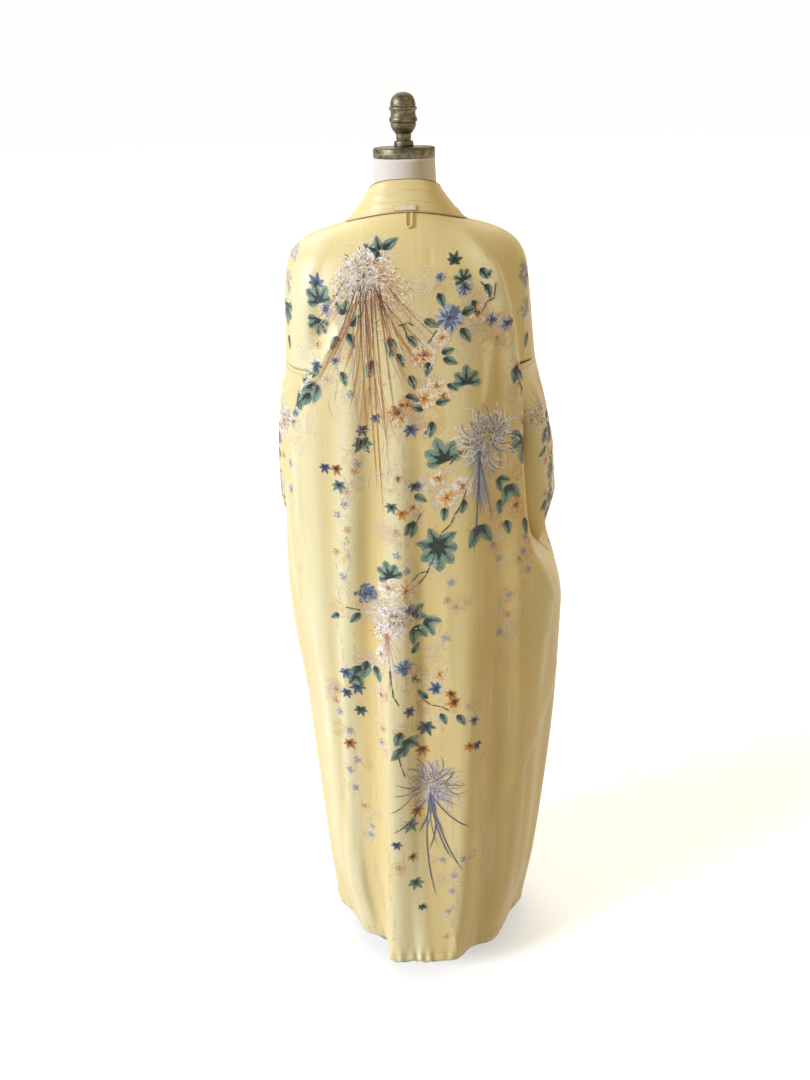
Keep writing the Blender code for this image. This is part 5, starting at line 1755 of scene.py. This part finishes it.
def washes(places, size):
    """Soft round patches near the places, in turn in pale tints."""
    places = np.array(places)
    count = len(places)
    u = places[:, 0] + rng.normal(0, size * 0.35, count)
    v = places[:, 1] + rng.normal(0, size * 0.35, count) - size * 0.5
    wide = size * rng.uniform(0.6, 1.2, count)
    for tint, u, v, wide in in_turn(("blush", "cream", "apricot", "cream"), u, v, wide):
        strokes(u, v, 90, wide * 1.3, wide * 0.6, "disc", f"{tint} {tint}")


WASHED = (
    (68, 90), (88, 112), (40, 98), (-124, 352), (38, 655), (-22, 984), (60, 180), (10, 150),
)
for places, size in ((BLOSSOMS, 50), (LEAVES, 34), (PAWS, 30), (WASHED, 70)):
    washes([row[:2] for row in places], size)
paint("washes_back", PANELS["back"], painted(), WASH)
paint("painted_back", PANELS["back"], BACK_STROKES)

# %% Sprays on the fronts and the sleeves
FRONT_SPRAYS = (
    (110, 150, 200, 1), (180, 420, 170, -1), (70, 640, 160, 1), (190, 860, 150, -1),
    (100, 1080, 140, 1),
)
SLEEVE_SPRAYS = ((0.36, 100, 150, 1), (0.46, 240, 120, -1), (0.62, 120, 140, 1))
for key, flip in (("left", 1), ("right", -1)):
    for u, v, size, side in FRONT_SPRAYS:
        spray(u, v, size, side * flip)
    paint("painted_front_" + key, PANELS[key], painted())
for side, made in SLEEVE_PANELS.items():
    for share, v, size, way in SLEEVE_SPRAYS:
        level = made.u[np.searchsorted(made.v, v / 1000)]
        spray((level[0] + share * np.ptp(level)) * 1000, v, size, way)
    paint(on_side("painted_sleeve", side), made, painted())

# %% [markdown]
# ## Threads, label and loop
# Seams read as a fine dark line with small stitches beside it. A thread is a thin round tube
# round a path: two directions square to the path carry its ring, with the cosine along one
# and the sine along the other. The label is a strip of woven tape, stitched down at both
# ends, and the hanging loop is two rolls of silk twisted round each other.

# %% Threads
TUBE_AXIS = (0.31, 0.27, 0.91)
STITCH_SHARE, STITCH_PROUD, STITCH_SUNK, STITCH_RADIUS = 0.62, 0.00045, 0.0001, 0.00028


def unit(vectors):
    return vectors / np.linalg.norm(vectors, axis=-1, keepdims=True)


def tubes(name, paths, radius, finish, node=None, sides=8):
    """Round tubes along paths, which is an array of tubes, steps and three coordinates."""
    along = np.gradient(paths, axis=1)
    beside = unit(np.cross(along, TUBE_AXIS))
    outer = unit(np.cross(beside, along))
    angle = np.linspace(0, 2 * np.pi, sides, endpoint=False)[:, None]
    ring = np.cos(angle) * outer[:, :, None] + np.sin(angle) * beside[:, :, None]
    points = paths[:, :, None] + radius * ring
    index = numbered(points.shape[:3])
    loop = np.concatenate([index, index[:, :, :1]], axis=2)
    faces = quads(loop).reshape(-1, 4).tolist()
    faces += index[:, 0, ::-1].tolist() + index[:, -1].tolist()
    return new_piece(name, points, faces, finish, node)


def sampled(values, reach, places):
    """Coordinates at places along a path, from those at its running lengths."""
    return np.stack([np.interp(places, reach, values[:, k]) for k in range(3)], axis=-1)


def stitches(name, path, normals, pitch, finish):
    """Short threads along a path, sunk at both ends and proud in the middle."""
    reach = running_length(path)
    start = np.arange(pitch, reach[-1] - pitch, pitch)[:, None]
    share = np.linspace(0, 1, 5)
    places = start + share * pitch * STITCH_SHARE
    rise = (STITCH_PROUD * np.sin(np.pi * share) - STITCH_SUNK)[:, None]
    spots = sampled(path, reach, places) + sampled(normals, reach, places) * rise
    print(name, len(start), "stitches")
    tubes(name, spots, STITCH_RADIUS, finish, sides=5)


def thread_finish(name, dark, pale):
    """Two tones in a fine twist along the thread."""
    finish = Finish(name, sheen_weight=0.2, roughness=0.75)
    twist = finish.noise(finish.place(), (900, 900, 2200), 2)
    finish.show(base_color=finish.mix(dark, pale, twist.step(0.35, 0.65)))
    finish.bump(twist, 0.0001, 0.6)
    return finish.material


BROWN_THREAD = thread_finish("brown_thread", "8c5a34", "b9814e")
GOLD_THREAD = thread_finish("gold_thread", "b98f4f", "e6cb8a")

# %% Seam lines
SEAM_RISE, EDGE_RISE, SEAM_RADIUS = 0.0006, 0.0003, 0.00045
COLLAR_PITCH, ARMHOLE_PITCH, HEM_PITCH = 0.0042, 0.0040, 0.0065
HEM_UP, HEM_IN, HEM_SPOTS = 0.021, 0.02, 500
ARMHOLE_FROM, ARMHOLE_TO = 0.22, 0.80


def sewn_lines():
    """The collar's two edges, the armholes and the hem."""
    slope = slopes(COLLAR)
    normals = slope * np.sign(slope[len(slope) // 2, 0, 1])
    # The dark thread on the collar's free top edge is partly painted shade: it stands for the shade
    # along the folded edge as well as for a thread.
    for name, place, rise in (("collar_seam", 0, SEAM_RISE), ("collar_edge", -1, EDGE_RISE)):
        path = COLLAR[:, place] + normals[:, place] * rise
        tubes(name, path[None], SEAM_RADIUS, BROWN_THREAD, sides=6)
    stitches("collar_stitches", COLLAR[:, 1], normals[:, 1], COLLAR_PITCH, GOLD_THREAD)
    outer = slice(int(SLEEVE_COLUMNS * ARMHOLE_FROM), int(SLEEVE_COLUMNS * ARMHOLE_TO))
    for side, made in SLEEVE_PANELS.items():
        path, out = made.points[2, outer], made.normals[2, outer]
        stitches(on_side("armhole_stitches", side), path, out, ARMHOLE_PITCH, BROWN_THREAD)
    for key, made in PANELS.items():
        u = np.linspace(made.u[-1].min() + HEM_IN, made.u[-1].max() - HEM_IN, HEM_SPOTS)
        path, out, _ = on_cloth(made, u, np.full(HEM_SPOTS, made.v[-1] - HEM_UP))
        stitches("hem_stitches_" + key, path, out, HEM_PITCH, GOLD_THREAD)


sewn_lines()

# %% Label and loop
LABEL_WIDTH, LABEL_FROM, LABEL_TO, LABEL_OFF, LABEL_WALL = 0.034, 0.05, 0.22, 0.0014, 0.0009
LABEL_STEPS, LABEL_ROWS, LABEL_CURL, LABEL_REACH = 41, 9, 0.00025, 40
TACKS, TACK_FROM, TACK_TO, TACK_RISE, TACK_RADIUS = (1, 3, 5, 7), -0.0008, 0.0012, 0.0004, 0.00025
LOOP_MIDDLE, LOOP_HALF, LOOP_LENGTH, LOOP_STRAIGHT, LOOP_TOP = -0.005, 0.0045, 0.80, 0.80, 0.032
LOOP_OFF, LOOP_TWIST, LOOP_STRAND, LOOP_SPOTS, LOOP_NEAR = 0.0020, 0.0042, 0.00085, 180, 0.05


def tape_finish():
    """Woven tape: weft ribs and a darker selvedge at both long edges."""
    finish = Finish("label_tape", sheen_weight=0.25, roughness=0.8)
    across, along, _ = finish.parts(finish.attribute("flat"))
    rib = finish.noise(finish.joined(across * 900, along * 5200, 0), 1, 1)
    warp = finish.noise(finish.joined(across * 5200, along * 900, 0), 1, 1)
    edge = (along - 0.5).size().step(0.40, 0.47)
    tone = finish.mix("d8c6a0", "efe3c6", (rib * 0.6 + warp * 0.4).step(0.35, 0.65))
    finish.show(base_color=finish.mix(tone, "a98d63", edge * 0.6))
    finish.bump(rib + warp * 0.7, 0.0002, 0.7)
    return finish.material


def make_label():
    """The tape bowed along the band: a straight line up the band at each place across."""
    middle = len(COLLAR) // 2
    path = COLLAR[middle - LABEL_REACH : middle + LABEL_REACH + 1]
    x = np.linspace(-LABEL_WIDTH / 2, LABEL_WIDTH / 2, LABEL_STEPS)
    seam, top = (
        np.stack([np.interp(x, path[:, k, 0], path[:, k, axis]) for axis in (1, 2)], axis=-1)
        for k in (0, -1)
    )
    way = unit(top - seam)
    out = np.stack([way[:, 1], -way[:, 0]], axis=-1)
    share = np.linspace(0, 1, LABEL_ROWS)
    part = np.linspace(LABEL_FROM, LABEL_TO, LABEL_ROWS)[None, :, None]
    wave = LABEL_CURL * np.cos(np.linspace(-1, 1, LABEL_STEPS) * 9)[:, None, None]
    curl = wave * np.sin(np.pi * (part - LABEL_FROM) / (LABEL_TO - LABEL_FROM))
    spots = seam[:, None] + (top - seam)[:, None] * part + out[:, None] * (LABEL_OFF + curl)
    places = np.broadcast_arrays(x[:, None], share, 0.0)
    points = np.concatenate([places[0][..., None], spots], axis=-1)
    faces, flat = quads(numbered(points.shape[:2])), np.stack(places, axis=-1)
    cloth("woven_label", points, flat, faces, LABEL_WALL, "label", tape_finish())
    height = np.linalg.norm(points[LABEL_STEPS // 2, -1] - points[LABEL_STEPS // 2, 0])
    print("label", round(float(height), 4), "high")
    return points, out


def label_stitches(points, out):
    """Four short threads over each end of the tape."""
    reach = np.linspace(TACK_FROM, TACK_TO, 5)[:, None] * [1, 0, 0]
    rise = TACK_RISE * np.sin(np.linspace(0, np.pi, 5))[:, None]
    rows = [
        points[end, k] + inward * reach + np.array([0, *out[end]]) * rise
        for end, inward in ((0, 1), (-1, -1))
        for k in TACKS
    ]
    tubes("label_stitches", np.array(rows), TACK_RADIUS, BROWN_THREAD, sides=5)


def make_loop():
    """Down one side, round the end and up the other, two strands that turn round the path."""
    turn = np.linspace(-np.pi / 2, np.pi / 2, 25)
    straight = np.linspace(0, 1, 30)[:-1]
    side = straight * LOOP_STRAIGHT
    bend = LOOP_STRAIGHT + (1 - LOOP_STRAIGHT) * np.cos(turn)
    row = np.concatenate([side, bend, side[::-1]]) * (LOOP_LENGTH - LOOP_TOP) + LOOP_TOP
    across = np.concatenate([-1 + 0 * straight, np.sin(turn), 1 + 0 * straight])
    x = LOOP_MIDDLE + LOOP_HALF * across
    deep, height = (column(SHOULDERS, key, row) for key in ("back", "back_height"))
    y = deep * np.sqrt(1 - (x / column(SHOULDERS, "ridge_right", row)) ** 2)
    slope_y = column(SHOULDERS, "back", row + LOOP_NEAR) - deep
    slope_z = column(SHOULDERS, "back_height", row + LOOP_NEAR) - height
    out = unit(np.stack([0 * x, -slope_z, slope_y], axis=-1))
    path = np.stack([x, y, height], axis=-1) + out * LOOP_OFF
    reach = running_length(path)
    places = np.linspace(0, reach[-1], LOOP_SPOTS)
    path, out = sampled(path, reach, places), sampled(out, reach, places)
    beside = unit(np.cross(np.gradient(path, axis=0), out))
    spin = 2 * np.pi * places[:, None] / LOOP_TWIST
    off = (np.cos(spin) * out + np.sin(spin) * beside) * LOOP_STRAND * 0.8
    strands = np.stack([path + off, path - off])
    tubes("twisted_loop", strands, LOOP_STRAND, SILK, "hanging_loop")
    print("loop", round(float(reach[-1]), 3), "m round")


LABEL_POINTS, LABEL_OUT = make_label()
label_stitches(LABEL_POINTS, LABEL_OUT)
make_loop()

# %% [markdown]
# ## The dress form
# The form is padded and covered in linen. Its rings follow the neck, then the shoulders just
# under the cloth, then the bust, waist and hips. Between the tables' rings more rings are
# blended in, so that the linen looks smooth.

# %% Dress form sizes
BODY_FOOT = 0.640
Figure = namedtuple("Figure", "height half back front")
FIGURE = table(
    Figure,
    (BODY_FOOT, 0.15, 0.112, 0.1),
    (0.7, 0.16, 0.12, 0.108), (0.8, 0.163, 0.124, 0.112), (0.9, 0.142, 0.105, 0.104),
    (1, 0.118, 0.088, 0.098), (1.1, 0.128, 0.098, 0.124), (1.18, 0.137, 0.11, 0.135),
    (1.235, 0.146, 0.114, 0.126), (1.28, 0.158, 0.114, 0.112),
)
Chest = namedtuple("Chest", "row deep height")
CHEST = table(
    Chest,
    (1, 0.06, 1.366), (1.6, 0.071, 1.348), (2.2, 0.082, 1.33), (2.6, 0.09, 1.318),
    (3, 0.097, 1.306),
)
YOKE_INSET, YOKE_DROP, BLADE_INSET, YOKE_START = 0.0025, 0.0014, 0.0110, 0.35
NECK_PROFILE = (
    (0.0478, 1.4975), (0.0492, 1.4650), (0.0510, 1.4350), (0.0560, 1.4080), (0.0640, 1.3930),
)
BODY_TURNS = 120


# %% Dress form
def chest_ring(chest, across, back):
    half = min(column(SHOULDERS, key, chest.row) for key in ("ridge_left", "ridge_right"))
    angle = np.arctan2(np.abs(across), np.abs(back))
    part = angle / (math.pi / 2)
    behind = back >= 0
    blade = column(SHOULDERS, "back", chest.row) - BLADE_INSET
    centre = np.where(behind, column(SHOULDERS, "back_height", chest.row) - YOKE_DROP, chest.height)
    rise = np.where(behind, ease(part), ease((part - YOKE_START) / (1 - YOKE_START)))
    deep = np.where(behind, blade, chest.deep)
    x, y = arc_point(angle, half - YOKE_INSET, deep, column(SHOULDERS, "square", chest.row))
    top = column(SHOULDERS, "ridge_height", chest.row) - YOKE_DROP
    height = centre + (top - centre) * rise
    return np.stack([np.copysign(x, across), np.where(behind, y, -y), height], axis=-1)


def body_rings():
    turn = np.linspace(0, 2 * math.pi, BODY_TURNS, endpoint=False)
    across, back = np.sin(turn), np.cos(turn)
    rings = [np.stack([r * across, r * back, z + 0 * turn], axis=-1) for r, z in NECK_PROFILE]
    rings += [chest_ring(chest, across, back) for chest in CHEST]
    for figure in FIGURE[::-1]:
        deep = np.where(back >= 0, figure.back, figure.front)
        ring = (figure.half * across, deep * back, figure.height + 0 * turn)
        rings.append(np.stack(ring, axis=-1))
    return np.array(rings)


def blended(rings, steps):
    """More rings between the given ones, each point on a smooth curve that never passes
    its neighbours: the slope at a ring is the harmonic mean of the slopes beside it."""
    slope = np.diff(rings, axis=0)
    product = slope[1:] * slope[:-1]
    lean = np.zeros_like(rings)
    lean[1:-1] = np.where(product > 0, 2 * product / (slope[1:] + slope[:-1] + 1e-15), 0)
    lean[0], lean[-1] = slope[0], slope[-1]
    place = np.linspace(0, len(rings) - 1, (len(rings) - 1) * steps + 1)
    low = np.minimum(place.astype(int), len(rings) - 2)
    part = (place - low)[:, None, None]
    bend = lean[low] * (1 - part) - lean[low + 1] * part
    return rings[low] + slope[low] * ease(part) + part * (1 - part) * bend


def closed_rings(name, rings, finish, node):
    """A closed piece: the rings, with a point in the middle of each end."""
    index = numbered(rings.shape[:2])
    top, foot = index.size, index.size + 1
    index = np.concatenate([index, index[:, :1]], axis=1)
    cap = [[top, b, a] for a, b in zip(index[0, :-1], index[0, 1:])]
    sole = [[foot, a, b] for a, b in zip(index[-1, :-1], index[-1, 1:])]
    points = np.concatenate([rings.reshape(-1, 3), rings[[0, -1]].mean(axis=1)])
    new_piece(name, points, quads(index).reshape(-1, 4).tolist() + cap + sole, finish, node)


def linen_finish():
    finish = Finish("linen", sheen_weight=0.6, sheen_roughness=0.5, roughness=0.9)
    place = finish.place()
    thread = finish.noise(place, (700, 700, 2600), 2)
    cross = finish.noise(place, (2600, 2600, 500), 2)
    share = (thread * 0.5 + cross * 0.5).step(0.35, 0.6)
    finish.show(base_color=finish.mix("d2cabd", "ebe5da", share))
    finish.bump(thread + cross, 0.0003, 0.5)
    return finish.material


closed_rings("dress_form", blended(body_rings(), 8), linen_finish(), "form_body")
print("dress form ready")

# %% [markdown]
# ## Turned metal
# The cap, the finial and the base were turned on a lathe. A profile from the top down its
# outer side is spun round the axis. The brass has aged to olive brown, with a tone mottled at
# random, fine turning lines and small dark specks.

# %% Turned pieces
NECK_TOP, CAP_RADIUS, CAP_TOP, TOUCH, CAP_ROUND = 1.4975, 0.0482, 1.5125, 0.0004, 0.0020
FINIAL_PROFILE = (
    (0.0045, 1.5902), (0.0105, 1.5880), (0.0150, 1.5845), (0.0177, 1.5795), (0.0190, 1.5750),
    (0.0196, 1.5716), (0.0190, 1.5704), (0.0205, 1.5697), (0.0215, 1.5680), (0.0212, 1.5662),
    (0.0196, 1.5640), (0.0188, 1.5607), (0.0194, 1.5572), (0.0208, 1.5543), (0.0216, 1.5516),
    (0.0211, 1.5492), (0.0200, 1.5480), (0.0189, 1.5472), (0.0197, 1.5463), (0.0195, 1.5440),
    (0.0183, 1.5400), (0.0160, 1.5362), (0.0134, 1.5330), (0.0119, 1.5316), (0.0116, 1.5300),
    (0.0115, 1.5240), (0.0112, 1.5222), (0.0138, 1.5213), (0.0150, 1.5198), (0.0152, 1.5165),
    (0.0150, CAP_TOP + TOUCH),
)
CAP_PROFILE = (
    (CAP_RADIUS - CAP_ROUND, CAP_TOP),
    (CAP_RADIUS, CAP_TOP - CAP_ROUND),
    (CAP_RADIUS, NECK_TOP + TOUCH + CAP_ROUND / 2),
    (CAP_RADIUS - CAP_ROUND / 2, NECK_TOP + TOUCH),
)
BASE_PROFILE = (
    (0.0205, 0.052), (0.0220, 0.036), (0.0300, 0.026), (0.0600, 0.019), (0.132, 0.012),
    (0.135, 0.009), (0.135, 0.003), (0.132, 0.0),
)
POLE_PROFILE = ((0.0125, 0.6396), (0.0125, 0.0524))


def spun(profile, turns, steps):
    """Rings round the axis: each profile point's radius at its height."""
    radius, height = blended(np.array(profile)[:, None], steps).transpose(2, 0, 1)
    turn = np.linspace(0, 2 * math.pi, turns, endpoint=False)
    return np.stack([radius * np.sin(turn), radius * np.cos(turn), height + 0 * turn], axis=-1)


def brass_finish():
    finish = Finish("aged_brass", metallic=0.85)
    place = finish.place()
    cloud, fine = finish.noise(place, 110, 3), finish.noise(place, 520, 3)
    turned = finish.noise(place, (12, 12, 1400), 2)
    tone = finish.mix("4c4635", "8a8269", (cloud * 0.6 + turned * 0.4).step(0.36, 0.64))
    tone = finish.mix(tone, "3a3425", fine.step(0.55, 0.75) * 0.5)
    finish.show(base_color=tone, roughness=0.40 + 0.22 * fine)
    finish.bump(turned * 0.5 + fine * 0.5, 0.0003, 0.3)
    return finish.material


def dark_finish(name, dark, pale, metallic):
    finish = Finish(name, metallic=metallic)
    speck = finish.noise(finish.place(), 300, 4)
    tone = finish.mix(dark, pale, speck.step(0.4, 0.7))
    finish.show(base_color=tone, roughness=0.42 + 0.3 * speck)
    finish.bump(speck, 0.0004, 0.3)
    return finish.material


BRASS = brass_finish()
IRON = dark_finish("cast_iron", "8f887a", "b3ab9b", 0.0)
STEEL = dark_finish("dark_steel", "1d1d1d", "363534", 0.8)
closed_rings("brass_cap", spun(CAP_PROFILE, 128, 2), BRASS, "neck_cap")
closed_rings("brass_finial", spun(FINIAL_PROFILE, 96, 4), BRASS, "finial")
closed_rings("iron_base", spun(BASE_PROFILE, 128, 4), IRON, "stand_base")
closed_rings("steel_pole", spun(POLE_PROFILE, 48, 1), STEEL, "pole")
